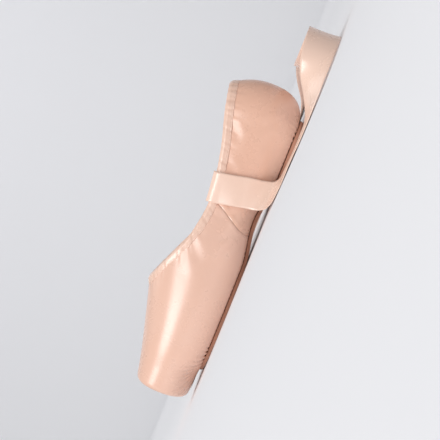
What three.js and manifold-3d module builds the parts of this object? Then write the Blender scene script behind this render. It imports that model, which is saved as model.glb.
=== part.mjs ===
// A pointe shoe on a straight last, so it fits either foot: a hollow satin upper with a stiffened
// box and a flat toe platform, a slim leather outsole, an insole, and two sewn satin ribbons that
// lie down on the floor. Millimetres, +Z up, toe towards -Y, the floor at Z = 0, and the origin on
// the floor under the middle of the shoe.
//
// Every height and width follows "station", the distance from the back of the heel to the toe.
import * as THREE from "three";
import { mergeVertices } from "three/addons/utils/BufferGeometryUtils.js";
import Module from "manifold-3d";

const wasm = await Module();
wasm.setup();

// ---- driving dimensions ----------------------------------------------------------------------

const SHOE_LENGTH = 236;
const OUTSOLE_THICKNESS = 2.8;
const OUTSOLE_BEVEL = 0.9; // how far the tread side stands in from the top side
const GAP = 0.3; // between pieces that meet
const ARCH_RISE = 4.5; // the waist of the sole over the floor
const ARCH = { middle: 97, reach: 36 };
const TOE_SPRING = { start: 178, rise: 1.4, power: 1.8 };

// The last, seen through its cross-sections: half its width at the girth line, the height of the
// girth line, the height of its crown, and how square the dome over the girth line is.
const LAST = [
  { station: 34, half: 27.6, girth: 25, crown: 75, dome: 2.0 },
  { station: 60, half: 28.4, girth: 23.5, crown: 77, dome: 2.1 },
  { station: 95, half: 30.8, girth: 22.5, crown: 76, dome: 2.2 },
  { station: 130, half: 36.2, girth: 22.5, crown: 69.5, dome: 2.2 },
  { station: 168, half: 39.4, girth: 23, crown: 60.8, dome: 2.2 },
  { station: 200, half: 36.6, girth: 23.5, crown: 51.8, dome: 2.25 },
  { station: 220, half: 31.0, girth: 24, crown: 46.9, dome: 2.35 },
  { station: 236, half: 26.6, girth: 24.5, crown: 43.4, dome: 2.5 },
];
const HEEL = {
  backHeight: 31, // the height of the point that reaches furthest back
  side: { reach: 34, power: 2.3 },
  crown: { reach: 42, power: 2.0 },
  under: { reach: 24, power: 2.5 },
};
const PLATFORM_EDGE = 3.6; // the rounding between the flat platform and the box
const FEATHER_POWER = 2.1; // the curve from the sole's edge up to the girth line

// The topline's height, seen from the side.
const TOPLINE = [
  { station: 0, height: 62.5 },
  { station: 30, height: 55.5 },
  { station: 60, height: 47 },
  { station: 95, height: 41.5 },
  { station: 121, height: 45.2 },
  { station: 139, height: 52.3 },
  { station: 153, height: 58.2 },
  { station: 163, height: 62.4 },
];

// The outsole's outline: half its width.
const SOLE = [
  { station: 36, half: 20 },
  { station: 60, half: 17.8 },
  { station: 95, half: 13 },
  { station: 125, half: 19 },
  { station: 160, half: 27 },
  { station: 182, half: 26.6 },
  { station: 202, half: 22 },
  { station: 214, half: 18 },
];
const SOLE_TAIL = { station: 17, reach: 20, power: 2.2 };
const SOLE_TIP = { station: 214, reach: 15, power: 1.9 };
const LASTING_MARGIN = 7; // how far the upper turns in under the insole
const FLAT_UNDER = 0.6; // how far inside the sole's edge the upper leaves the flat

const WALL = { quarter: 1.5, box: 2.9, platform: 3.6, edge: 1.4, thickens: [135, 180], above: 9 };
const INSOLE = { thickness: 2.2, clearance: 0.6, edgeGap: 0.6, endHalf: 5, fillerGap: 1.4 };

// How finely the upper is divided: columns a side in each zone, and rows below and above the girth.
const ZONES = [
  { until: 40, columns: 8 },
  { until: 120, columns: 7 },
  { until: SHOE_LENGTH, columns: 17 },
];
const ROWS = { lower: 7, upper: 10 };

const RIBBON = { width: 22, thickness: 0.6, steps: 76, splay: 4 };

// ---- curves through the tables ---------------------------------------------------------------

const clamp01 = (t) => Math.min(1, Math.max(0, t));
const mix = (a, b, t) => a + (b - a) * t;
const smooth = (t) => clamp01(t) ** 2 * (3 - 2 * clamp01(t));

// A smooth curve through one column of a table (cubic, with slopes that never overshoot a row).
function through(table, column) {
  const at = table.map((row) => row.station);
  const value = table.map((row) => row[column]);
  const slope = at.slice(1).map((s, i) => (value[i + 1] - value[i]) / (s - at[i]));
  const tangent = at.map((_, i) => {
    if (i === 0) return slope[0];
    if (i === at.length - 1) return slope[i - 1];
    const [before, after] = [slope[i - 1], slope[i]];
    return before * after <= 0 ? 0 : (2 * before * after) / (before + after);
  });
  return (station) => {
    const s = Math.min(at[at.length - 1], Math.max(at[0], station));
    const i = Math.max(0, at.findLastIndex((a, k) => a <= s && k < at.length - 1));
    const span = at[i + 1] - at[i];
    const t = (s - at[i]) / span;
    return (
      value[i] * (1 + 2 * t) * (1 - t) ** 2 +
      value[i + 1] * t * t * (3 - 2 * t) +
      span * (tangent[i] * t * (1 - t) ** 2 - tangent[i + 1] * t * t * (1 - t))
    );
  };
}

// A rounded end: 0 at the very end, 1 from "reach" inwards.
const roundEnd = (distance, { reach, power }) =>
  (1 - (1 - clamp01(distance / reach)) ** power) ** (1 / power);

const lastHalf = through(LAST, "half");
const lastGirth = through(LAST, "girth");
const lastCrown = through(LAST, "crown");
const lastDome = through(LAST, "dome");
const toplineHeight = through(TOPLINE, "height");
const soleTable = through(SOLE, "half");

// The height of the outsole's tread over the floor: flat at heel and ball, arched at the waist.
function treadHeight(station) {
  const fromArch = (station - ARCH.middle) / ARCH.reach;
  const arch = Math.abs(fromArch) < 1 ? ARCH_RISE * Math.cos((fromArch * Math.PI) / 2) ** 2 : 0;
  const past = Math.max(0, station - TOE_SPRING.start) / (SHOE_LENGTH - TOE_SPRING.start);
  return arch + TOE_SPRING.rise * past ** TOE_SPRING.power;
}
const underHeight = (station) => treadHeight(station) + OUTSOLE_THICKNESS + GAP;

// Half the width of the sole's outline, drawn in on every side by "inset".
function soleHalf(station, inset = 0) {
  const tail = station - SOLE_TAIL.station - inset;
  const tip = SOLE_TIP.station - inset - station;
  if (tail <= 0 || tip <= 0) return 0;
  return (soleTable(station) - inset) * roundEnd(tail, SOLE_TAIL) * roundEnd(tip, SOLE_TIP);
}

// The cross-section of the last at a station.
function section(station) {
  const edge = PLATFORM_EDGE * (1 - roundEnd(SHOE_LENGTH - station, { reach: PLATFORM_EDGE, power: 2 }));
  const forward = smooth(station / HEEL.side.reach);
  const girth = mix(HEEL.backHeight, lastGirth(station), forward);
  const half = lastHalf(station) * roundEnd(station, HEEL.side) - edge;
  const under = mix(HEEL.backHeight, underHeight(station), roundEnd(station, HEEL.under)) + edge;
  const crown = mix(HEEL.backHeight, lastCrown(station), roundEnd(station, HEEL.crown)) - edge;
  const flat = Math.min(Math.max(0, soleHalf(station) - FLAT_UNDER), half - 1);
  return { half, girth, under, crown, flat, dome: lastDome(station) };
}

// Whether a point lies inside the last.
function inLast(x, station, z) {
  if (station < 0 || station > SHOE_LENGTH) return false;
  const { half, girth, under, crown, flat, dome } = section(station);
  const out = Math.abs(x);
  if (out >= half || z <= under || z >= crown) return false;
  if (z > girth) return (out / half) ** dome + ((z - girth) / (crown - girth)) ** dome < 1;
  const side = Math.max(0, out - flat) / (half - flat);
  return side ** FEATHER_POWER + ((girth - z) / (girth - under)) ** FEATHER_POWER < 1;
}

// ---- the three lines that the upper hangs between --------------------------------------------
// Each runs round one half of the shoe from the middle of the heel to the middle of the toe, as
// points { x, station }.

const stationsBetween = (from, to, count) =>
  Array.from({ length: count + 1 }, (_, i) => mix(from, to, (1 - Math.cos((i / count) * Math.PI)) / 2));

function girthLine() {
  const side = stationsBetween(0, SHOE_LENGTH, 400).map((station) => ({
    x: Math.max(0, section(station).half),
    station,
  }));
  const corner = side[side.length - 1].x;
  const front = Array.from({ length: 60 }, (_, i) => ({
    x: corner * (1 - (i + 1) / 60),
    station: SHOE_LENGTH,
  }));
  return [...side, ...front];
}

function toplineLine() {
  const rise = (station) => toplineHeight(station) - section(station).crown;
  const crossing = (low, high) => {
    for (let i = 0; i < 50; i++) {
      const middle = (low + high) / 2;
      if (rise(low) > 0 === rise(middle) > 0) low = middle;
      else high = middle;
    }
    return (low + high) / 2;
  };
  const back = crossing(0, 40);
  const throat = crossing(120, 180);
  return stationsBetween(back, throat, 400).map((station, i, all) => {
    const { half, girth, crown, dome } = section(station);
    const up = clamp01((toplineHeight(station) - girth) / (crown - girth));
    const ends = i === 0 || i === all.length - 1;
    return { x: ends ? 0 : half * (1 - up ** dome) ** (1 / dome), station };
  });
}

function openingLine() {
  const from = SOLE_TAIL.station + LASTING_MARGIN;
  const to = SOLE_TIP.station - LASTING_MARGIN;
  const point = (station) => ({ x: soleHalf(station, LASTING_MARGIN), station });
  return stationsBetween(from, to, 400).map(point);
}

// Points along a line at even steps of length, zone by zone, so that the columns of the upper
// stand across the shoe at its sides and fan out round its heel and toe.
function columnsAlong(line) {
  const run = [0];
  for (let i = 1; i < line.length; i++)
    run.push(run[i - 1] + Math.hypot(line[i].x - line[i - 1].x, line[i].station - line[i - 1].station));
  const runAt = (until) => {
    const i = line.findIndex((p) => p.station >= until);
    if (i < 0 || until >= SHOE_LENGTH) return run[run.length - 1];
    const t = (until - line[i - 1].station) / (line[i].station - line[i - 1].station);
    return mix(run[i - 1], run[i], t);
  };
  const pointAt = (length) => {
    const i = Math.max(1, run.findIndex((r) => r >= length - 1e-9));
    const t = clamp01((length - run[i - 1]) / (run[i] - run[i - 1]));
    return {
      x: mix(line[i - 1].x, line[i].x, t),
      station: mix(line[i - 1].station, line[i].station, t),
    };
  };
  const points = [pointAt(0)];
  let from = 0;
  for (const zone of ZONES) {
    const to = runAt(zone.until);
    for (let i = 1; i <= zone.columns; i++) points.push(pointAt(mix(from, to, i / zone.columns)));
    from = to;
  }
  return points;
}

// ---- the upper -------------------------------------------------------------------------------

// A quarter arc on the last, in the upright plane from "inner" out to the girth point "outer".
// It starts above (or below) "inner", by "rise" from the girth line, and ends on the girth line.
function arcOnLast(inner, outer, rise) {
  const samples = 64;
  const level = section(outer.station).girth;
  const spread = { x: outer.x - inner.x, station: outer.station - inner.station };
  const pointOn = (turn, reach) => ({
    x: inner.x + reach * spread.x * Math.cos(turn),
    station: inner.station + reach * spread.station * Math.cos(turn),
    z: level + reach * rise * Math.sin(turn),
  });
  const points = [];
  for (let i = 0; i <= samples; i++) {
    const turn = (1 - i / samples) * (Math.PI / 2);
    let near = 0;
    let far = 12;
    while (far - near > 1e-5) {
      const reach = (near + far) / 2;
      const { x, station, z } = pointOn(turn, reach);
      if (inLast(x, station, z)) near = reach;
      else far = reach;
    }
    const { x, station, z } = pointOn(turn, near);
    points.push(new THREE.Vector3(x, SHOE_LENGTH / 2 - station, z));
  }
  return points;
}

// The same arc with "count" steps, shorter where it bends more.
function evened(points, count) {
  const length = [0];
  const bend = [0];
  for (let i = 1; i < points.length; i++) {
    const step = points[i].clone().sub(points[i - 1]);
    length.push(length[i - 1] + step.length());
    const before = i > 1 ? points[i - 1].clone().sub(points[i - 2]) : step;
    bend.push(bend[i - 1] + (before.length() && step.length() ? before.angleTo(step) : 0));
  }
  const last = points.length - 1;
  const share = (sums, i) => sums[i] / (sums[last] || 1);
  const measure = points.map((_, i) => 0.6 * share(length, i) + 0.4 * share(bend, i));
  return Array.from({ length: count + 1 }, (_, k) => {
    const wanted = (k / count) * measure[last];
    const i = Math.max(1, measure.findIndex((m) => m >= wanted - 1e-9));
    const t = clamp01((wanted - measure[i - 1]) / (measure[i] - measure[i - 1] || 1));
    return points[i - 1].clone().lerp(points[i], t);
  });
}

// The outer skin as columns of points, from the opening under the foot up to the topline, round
// the whole shoe: heel, +X side, toe, -X side.
function outerSkin() {
  const girths = columnsAlong(girthLine());
  const toplines = columnsAlong(toplineLine());
  const openings = columnsAlong(openingLine());
  const half = girths.map((girth, i) => {
    const height = section(girth.station).girth;
    const below = arcOnLast(openings[i], girth, section(openings[i].station).under - height);
    const above = arcOnLast(toplines[i], girth, toplineHeight(toplines[i].station) - height);
    return [...evened(below, ROWS.lower), ...evened(above, ROWS.upper).reverse().slice(1)];
  });
  const mirrored = half.slice(1, -1).reverse();
  return [...half, ...mirrored.map((column) => column.map((p) => new THREE.Vector3(-p.x, p.y, p.z)))];
}

const rowsUp = ROWS.lower + ROWS.upper;

// The thickness of the wall: thin on the margin under the foot and at the topline, thicker in the
// stiffened box, and thickest behind the platform. "up" is the height over the margin, and
// "fromTopline" runs from 0 at the topline to 1 well below it.
function wallAt(station, up, fromTopline) {
  const [from, to] = WALL.thickens;
  const body = mix(WALL.quarter, WALL.box, smooth((station - from) / (to - from)));
  const front = mix(body, WALL.platform, smooth((station - (SHOE_LENGTH - 8)) / 6));
  return mix(WALL.edge, front, Math.min(smooth(up / WALL.above), smooth(fromTopline)));
}

// The inner skin: each outer point moved in by the wall's thickness along the skin's normal.
function innerSkin(outer) {
  const count = outer.length;
  return outer.map((column, i) =>
    column.map((point, row) => {
      const round = outer[(i + 1) % count][row].clone().sub(outer[(i + count - 1) % count][row]);
      const up = column[Math.min(row + 1, rowsUp)].clone().sub(column[Math.max(row - 1, 0)]);
      const inwards = round.cross(up).normalize();
      const station = SHOE_LENGTH / 2 - point.y;
      const wall = wallAt(station, point.z - underHeight(station), (rowsUp - row) / 4);
      return point.clone().addScaledVector(inwards, wall);
    }),
  );
}

// A closed surface from faces listed as points.
function closedSurface(quads) {
  const positions = [];
  for (const [a, b, c, d] of quads)
    for (const p of [a, b, c, a, c, d]) positions.push(p.x, p.y, p.z);
  const attribute = new THREE.Float32BufferAttribute(positions, 3);
  return new THREE.BufferGeometry().setAttribute("position", attribute);
}

function upperGeometry() {
  const outer = outerSkin();
  const inner = innerSkin(outer);
  const quads = [];
  outer.forEach((column, i) => {
    const next = (i + 1) % outer.length;
    for (let row = 0; row < rowsUp; row++) {
      quads.push([column[row], column[row + 1], outer[next][row + 1], outer[next][row]]);
      quads.push([inner[i][row], inner[next][row], inner[next][row + 1], inner[i][row + 1]]);
    }
    quads.push([column[rowsUp], inner[i][rowsUp], inner[next][rowsUp], outer[next][rowsUp]]);
    quads.push([column[0], outer[next][0], inner[next][0], inner[i][0]]);
  });
  return closedSurface(quads);
}

// ---- soles -----------------------------------------------------------------------------------

// A flat piece with the outline "half(station)", whose faces follow two height functions. The
// lower face may stand in from the upper one by "bevel".
function slab({ from, to, half, bottom, top, bevel = 0, steps = 40, across = 6 }) {
  const stations = stationsBetween(from, to, steps);
  const bluntEnd = { half: 2, depth: 0.35 };
  const line = (station, height, drawnIn) => {
    const read = Math.min(to - bluntEnd.depth, Math.max(from + bluntEnd.depth, station));
    const width = Math.max(bluntEnd.half, half(read) - drawnIn);
    const shift = drawnIn * Math.cos(((station - from) / (to - from)) * Math.PI);
    const y = SHOE_LENGTH / 2 - station - shift;
    return Array.from({ length: across + 1 }, (_, k) => {
      const x = mix(-width, width, k / across);
      return new THREE.Vector3(x, y, height(station));
    });
  };
  const lower = stations.map((s) => line(s, bottom, bevel));
  const upper = stations.map((s) => line(s, top, 0));
  const quads = [];
  for (let i = 0; i < steps; i++) {
    for (let k = 0; k < across; k++) {
      quads.push([upper[i][k], upper[i + 1][k], upper[i + 1][k + 1], upper[i][k + 1]]);
      quads.push([lower[i][k], lower[i][k + 1], lower[i + 1][k + 1], lower[i + 1][k]]);
    }
    quads.push([lower[i][0], lower[i + 1][0], upper[i + 1][0], upper[i][0]]);
    quads.push([lower[i][across], upper[i][across], upper[i + 1][across], lower[i + 1][across]]);
  }
  for (let k = 0; k < across; k++) {
    quads.push([lower[0][k], upper[0][k], upper[0][k + 1], lower[0][k + 1]]);
    quads.push([lower[steps][k], lower[steps][k + 1], upper[steps][k + 1], upper[steps][k]]);
  }
  return closedSurface(quads);
}

const outsoleGeometry = () =>
  slab({
    from: SOLE_TAIL.station,
    to: SOLE_TIP.station,
    half: (s) => soleHalf(s),
    bottom: treadHeight,
    top: (s) => treadHeight(s) + OUTSOLE_THICKNESS,
    bevel: OUTSOLE_BEVEL,
  });

function solidOf(geometry) {
  const merged = mergeVertices(geometry, 1e-3);
  return new wasm.Manifold(
    new wasm.Mesh({
      numProp: 3,
      vertProperties: merged.attributes.position.array,
      triVerts: new Uint32Array(merged.index.array),
    }),
  );
}

function geometryOf(solid) {
  const mesh = solid.getMesh();
  return new THREE.BufferGeometry()
    .setAttribute("position", new THREE.BufferAttribute(new Float32Array(mesh.vertProperties), 3))
    .setIndex(new THREE.BufferAttribute(new Uint32Array(mesh.triVerts), 1));
}

// Half the width of the last at a height under its girth line.
function lastHalfAt(station, z) {
  const { half, girth, under, flat } = section(station);
  if (station < 0 || station > SHOE_LENGTH || z <= under) return 0;
  const drop = clamp01((girth - z) / (girth - under));
  return flat + (half - flat) * (1 - drop ** FEATHER_POWER) ** (1 / FEATHER_POWER);
}

// Half the width left at a height once a ball of this radius has to clear the last all round.
function halfLeft(station, z, radius) {
  let left = Infinity;
  for (let down = 0; down <= 90; down += 15) {
    for (let turn = 0; turn <= 180; turn += 15) {
      const [d, t] = [down, turn].map(THREE.MathUtils.degToRad);
      const reach = radius * Math.cos(d);
      const half = lastHalfAt(station + reach * Math.cos(t), z - radius * Math.sin(d));
      left = Math.min(left, half - reach * Math.sin(t));
    }
  }
  return Math.max(0, left);
}

// The insole lies on the turned-in margin of the upper, and its raised underside fills the opening
// that the margin leaves.
function insoleGeometry() {
  const floorOfUpper = (s) => underHeight(s) + WALL.edge + INSOLE.clearance;
  const half = (s) => {
    const up = floorOfUpper(s) + INSOLE.thickness - underHeight(s);
    const wall = wallAt(s, up, 1) + INSOLE.edgeGap;
    return halfLeft(s, floorOfUpper(s), Math.min(wall, WALL.edge + INSOLE.clearance - 0.05));
  };
  const middle = SHOE_LENGTH / 2;
  const end = (step) => {
    let s = middle;
    while (half(s + step) > INSOLE.endHalf) s += step;
    return s;
  };
  const sheet = slab({
    from: end(-0.25),
    to: end(0.25),
    half,
    bottom: floorOfUpper,
    top: (s) => floorOfUpper(s) + INSOLE.thickness,
    steps: 34,
    across: 4,
  });
  const inset = LASTING_MARGIN + INSOLE.fillerGap;
  const filler = slab({
    from: SOLE_TAIL.station + inset,
    to: SOLE_TIP.station - inset,
    half: (s) => soleHalf(s, inset),
    bottom: (s) => underHeight(s) + 0.05,
    top: (s) => floorOfUpper(s) + INSOLE.thickness / 2,
    steps: 34,
    across: 2,
  });
  return geometryOf(solidOf(sheet).add(solidOf(filler)));
}

// ---- ribbons ---------------------------------------------------------------------------------

// Each ribbon's route, from the end sewn inside the quarter, over the topline, down its outside and
// along the floor: the middle of the ribbon, the height of its lower edge, and its lean, which is 0
// where it lies flat and near 90 where it stands on its edge in a bend.
const INNER_RIBBON = [
  { x: 27.2, y: 37.0, low: 21, lean: 0 },
  { x: 27.0, y: 35.6, low: 31, lean: 2 },
  { x: 25.6, y: 34.5, low: 38.5, lean: 6 },
  { x: 25.2, y: 34.1, low: 41.5, lean: 8 },
  { x: 27.9, y: 34.0, low: 43.7, lean: 8 },
  { x: 30.0, y: 34.2, low: 41.3, lean: 8 },
  { x: 31.0, y: 35.2, low: 36, lean: 5 },
  { x: 32.0, y: 36.8, low: 29, lean: 2 },
  { x: 33.0, y: 39, low: 20, lean: 0 },
  { x: 34.8, y: 41, low: 9.5, lean: 0 },
  { x: 40, y: 44.5, low: 2.6, lean: 0 },
  { x: 50, y: 51, low: 0.5, lean: 0 },
  { x: 70, y: 67, low: 0.4, lean: 0 },
  { x: 90, y: 88, low: 0.4, lean: 0 },
  { x: 103, y: 112, low: 0.5, lean: 22 },
  { x: 104, y: 136, low: 0.5, lean: 58 },
  { x: 90, y: 153, low: 0.4, lean: 80 },
  { x: 68, y: 159, low: 0.4, lean: 86 },
  { x: 46, y: 153, low: 0.4, lean: 86 },
  { x: 26, y: 143, low: 0.4, lean: 86 },
  { x: 4, y: 137, low: 0.4, lean: 84 },
  { x: -19, y: 139, low: 0.4, lean: 84 },
  { x: -42, y: 145, low: 0.4, lean: 80 },
  { x: -65, y: 146, low: 0.4, lean: 66 },
  { x: -87, y: 138, low: 0.5, lean: 36 },
  { x: -107, y: 124, low: 0.5, lean: 8 },
  { x: -124, y: 107, low: 0.4, lean: 0 },
  { x: -139, y: 88, low: 0.4, lean: 0 },
];
const OUTER_RIBBON = [
  { x: -27.2, y: 37.0, low: 21, lean: 0 },
  { x: -27.0, y: 35.6, low: 31, lean: -2 },
  { x: -25.6, y: 34.5, low: 38.5, lean: -6 },
  { x: -25.2, y: 34.1, low: 41.5, lean: -8 },
  { x: -27.9, y: 34.0, low: 43.7, lean: -8 },
  { x: -30.0, y: 34.2, low: 41.3, lean: -8 },
  { x: -31.0, y: 34.8, low: 36, lean: -5 },
  { x: -32.0, y: 35.6, low: 29, lean: -2 },
  { x: -33.0, y: 36.6, low: 20, lean: 0 },
  { x: -34.8, y: 37.6, low: 9.5, lean: 0 },
  { x: -40, y: 39.4, low: 2.6, lean: 0 },
  { x: -51, y: 43, low: 0.5, lean: 0 },
  { x: -76, y: 50, low: 0.4, lean: 0 },
  { x: -104, y: 55, low: 0.5, lean: 16 },
  { x: -130, y: 51, low: 0.5, lean: 52 },
  { x: -148, y: 34, low: 0.4, lean: 78 },
  { x: -148, y: 11, low: 0.4, lean: 86 },
  { x: -132, y: -7, low: 0.4, lean: 86 },
  { x: -108, y: -16, low: 0.4, lean: 84 },
  { x: -84, y: -27, low: 0.4, lean: 84 },
  { x: -69, y: -47, low: 0.4, lean: 86 },
  { x: -69, y: -71, low: 0.4, lean: 86 },
  { x: -85, y: -89, low: 0.4, lean: 80 },
  { x: -109, y: -96, low: 0.5, lean: 60 },
  { x: -132, y: -103, low: 0.5, lean: 28 },
  { x: -148, y: -119, low: 0.4, lean: 4 },
  { x: -153, y: -142, low: 0.4, lean: 0 },
];

// The middle of a ribbon at "place" along its route, where every row of the route is one place on,
// and the direction of its width there.
function ribbonFrame(route) {
  const points = route.map((row) => new THREE.Vector3(row.x, row.y, 0));
  const plan = new THREE.CatmullRomCurve3(points, false, "catmullrom", 0.5);
  const rows = route.map((row, station) => ({ ...row, station }));
  const low = through(rows, "low");
  const lean = through(rows, "lean");
  const last = route.length - 1;
  const leanAt = (place) => THREE.MathUtils.degToRad(lean(place));
  const middle = (place) => {
    const point = plan.getPoint(clamp01(place / last));
    point.z = low(place) + (RIBBON.width / 2) * Math.abs(Math.sin(leanAt(place)));
    return point;
  };
  const splay = THREE.MathUtils.degToRad(RIBBON.splay);
  const outwards = new THREE.Vector3(Math.sign(route[0].x) * Math.cos(splay), Math.sin(splay), 0);
  const side = (place) => {
    const along = middle(Math.min(last, place + 0.02)).sub(middle(Math.max(0, place - 0.02))).normalize();
    const level = smooth(Math.hypot(along.x, along.y));
    const ahead = new THREE.Vector3(along.x * level, along.y * level, 0);
    ahead.addScaledVector(outwards, 1 - level);
    const across = new THREE.Vector3(-ahead.y, ahead.x, 0);
    across.addScaledVector(along, -across.dot(along)).normalize();
    return { along, across: across.applyAxisAngle(along, leanAt(place)) };
  };
  return { middle, side, last };
}

function ribbonGeometry(route) {
  const { middle, side, last } = ribbonFrame(route);
  const places = Array.from({ length: RIBBON.steps + 1 }, (_, i) => (i / RIBBON.steps) * last);
  const rings = places.map((place) => {
    const { along, across } = side(place);
    const face = along.clone().cross(across);
    const corner = (out, up) => {
      const point = middle(place).addScaledVector(across, (out * RIBBON.width) / 2);
      return point.addScaledVector(face, (up * RIBBON.thickness) / 2);
    };
    return [corner(-1, -1), corner(1, -1), corner(1, 1), corner(-1, 1)];
  });
  const quads = [];
  rings.slice(1).forEach((next, i) => {
    for (let k = 0; k < 4; k++) {
      const after = (k + 1) % 4;
      quads.push([rings[i][k], rings[i][after], next[after], next[k]]);
    }
  });
  const [start, end] = [rings[0], rings[RIBBON.steps]];
  quads.push([start[3], start[2], start[1], start[0]], [end[0], end[1], end[2], end[3]]);
  return closedSurface(quads);
}

// ---- the shoe --------------------------------------------------------------------------------

const satin = { color: 0xebc1ab, roughness: 0.36, metalness: 0 };
const leather = { color: 0xc98f72, roughness: 0.75, metalness: 0 };
const canvas = { color: 0xe9dccb, roughness: 0.9, metalness: 0 };

function piece(name, geometry, finish) {
  const mesh = new THREE.Mesh(geometry, new THREE.MeshStandardMaterial(finish));
  mesh.name = name;
  return mesh;
}

const shoe = new THREE.Group();
shoe.add(
  piece("upper", upperGeometry(), satin),
  piece("outsole", outsoleGeometry(), leather),
  piece("insole", insoleGeometry(), canvas),
  piece("ribbon_inner", ribbonGeometry(INNER_RIBBON), satin),
  piece("ribbon_outer", ribbonGeometry(OUTER_RIBBON), satin),
);

export default shoe;
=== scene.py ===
"""A satin pointe shoe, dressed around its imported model.

Every form below is worked out on the shoe's own last. "Station" is the distance from the back of
the heel towards the toe, and sizes are in millimetres until a mesh is made.
"""

import logging
import math
from collections.abc import Sequence
from dataclasses import dataclass, field
from enum import Enum

import bmesh
import bpy
import numpy as np
from mathutils import Matrix, Vector


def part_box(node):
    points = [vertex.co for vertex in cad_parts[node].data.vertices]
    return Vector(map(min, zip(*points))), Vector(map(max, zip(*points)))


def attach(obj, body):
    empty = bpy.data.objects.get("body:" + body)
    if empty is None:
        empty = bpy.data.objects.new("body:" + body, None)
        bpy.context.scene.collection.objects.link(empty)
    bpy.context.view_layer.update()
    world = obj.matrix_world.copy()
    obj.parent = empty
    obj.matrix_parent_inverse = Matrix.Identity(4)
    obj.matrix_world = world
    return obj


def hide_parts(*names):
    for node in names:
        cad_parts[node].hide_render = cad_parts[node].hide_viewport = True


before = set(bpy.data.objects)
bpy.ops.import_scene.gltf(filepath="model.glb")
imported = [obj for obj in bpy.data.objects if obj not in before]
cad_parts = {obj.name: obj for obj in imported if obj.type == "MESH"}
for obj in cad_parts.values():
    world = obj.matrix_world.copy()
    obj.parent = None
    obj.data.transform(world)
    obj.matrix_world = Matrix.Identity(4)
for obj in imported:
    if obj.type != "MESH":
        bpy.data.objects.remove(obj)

LOG = logging.getLogger("pointe_shoe")
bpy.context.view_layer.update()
BODY = "root"
MM = 0.001

Array = np.ndarray
Numbers = Array | float
Table = tuple[tuple[float, ...], ...]
Pair = tuple[float, float]
Triple = tuple[float, float, float]
Colour = tuple[float, float, float, float]
Form = bmesh.types.BMesh
Socket = bpy.types.NodeSocket
Material = bpy.types.Material


def smooth(t: Numbers) -> Numbers:
    """Eases from 0 to 1 as t does, and stays there."""
    t = np.clip(t, 0.0, 1.0)
    return t * t * (3 - 2 * t)


def mix(a: Numbers, b: Numbers, t: Numbers) -> Numbers:
    """The value that share t of the way from a to b gives."""
    return a + (b - a) * t


def hump(distance: Numbers, width: float) -> Numbers:
    """1 at no distance, fading to nothing over about twice the width."""
    return np.exp(-((distance / width) ** 2))


def humps(at: Numbers, rows: Table) -> Numbers:
    """A sum of humps, each a row of its height, its place and its width."""
    return sum(height * hump(at - place, width) for height, place, width in rows)


def ripples(at: Array, rows: Table) -> Array:
    """A sum of waves, each a row of its height, its radians in a millimetre and its start."""
    return sum(height * np.sin(at * rate + start) for height, rate, start in rows)


def unit(vectors: Array) -> Array:
    """The same directions at length 1."""
    return vectors / np.maximum(np.linalg.norm(vectors, axis=-1, keepdims=True), 1e-12)


def run_along(points: Array) -> Array:
    """How far each point is along its line from the line's first point."""
    steps = np.linalg.norm(np.diff(points, axis=-2), axis=-1)
    return np.concatenate([np.zeros((*steps.shape[:-1], 1)), np.cumsum(steps, axis=-1)], axis=-1)


def read_along(where: Numbers, run: Array, rows: Array) -> Array:
    """Rows of values, read at distances along their run."""
    return np.stack([np.interp(where, run, column) for column in rows.T], axis=-1)


def eased(start: float, end: float, count: int = 400) -> Array:
    """Stations from start to end, closer together at both."""
    return mix(start, end, (1 - np.cos(np.linspace(0, math.pi, count + 1))) / 2)


def shares_across(count: int, closeness: float = 0.8) -> Array:
    """Shares of a half width from -1 to 1, closer together at both edges."""
    turns = np.linspace(-math.pi / 2, math.pi / 2, count + 1) * closeness
    return np.sin(turns) / math.sin(closeness * math.pi / 2)


class Curve:
    """A smooth curve through a table's rows that never overshoots one of them."""

    def __init__(self, at: Sequence[float], value: Sequence[float]) -> None:
        """Works out the slope at each row.

        Args:
            at: where the rows stand, rising.
            value: what they hold.
        """
        self.at, self.value = np.array(at, float), np.array(value, float)
        slope = np.diff(self.value) / np.diff(self.at)
        before, after = slope[:-1], slope[1:]
        same_way = before * after > 0
        total = np.where(same_way, before + after, 1.0)
        inner = np.where(same_way, 2 * before * after / total, 0.0)
        self.tangent = np.concatenate([slope[:1], inner, slope[-1:]])

    def __call__(self, where: Numbers) -> Array:
        """Reads the curve.

        Args:
            where: one place or an array of them.

        Returns:
            The curve's values there.
        """
        s = np.clip(np.asarray(where, float), self.at[0], self.at[-1])
        i = np.clip(np.searchsorted(self.at, s, side="right") - 1, 0, len(self.at) - 2)
        span = self.at[i + 1] - self.at[i]
        t = (s - self.at[i]) / span
        ends = self.value[i] * (1 + 2 * t) * (1 - t) ** 2 + self.value[i + 1] * t * t * (3 - 2 * t)
        return ends + span * (self.tangent[i] * t * (1 - t) ** 2 - self.tangent[i + 1] * t * t * (1 - t))


@dataclass(frozen=True)
class RoundEnd:
    """How a form closes at its end: from nothing to its whole size over "reach"."""

    reach: float
    power: float

    def __call__(self, distance: Numbers) -> Numbers:
        """The share of the whole size at a distance from the end."""
        return (1 - (1 - np.clip(distance / self.reach, 0, 1)) ** self.power) ** (1 / self.power)


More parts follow.
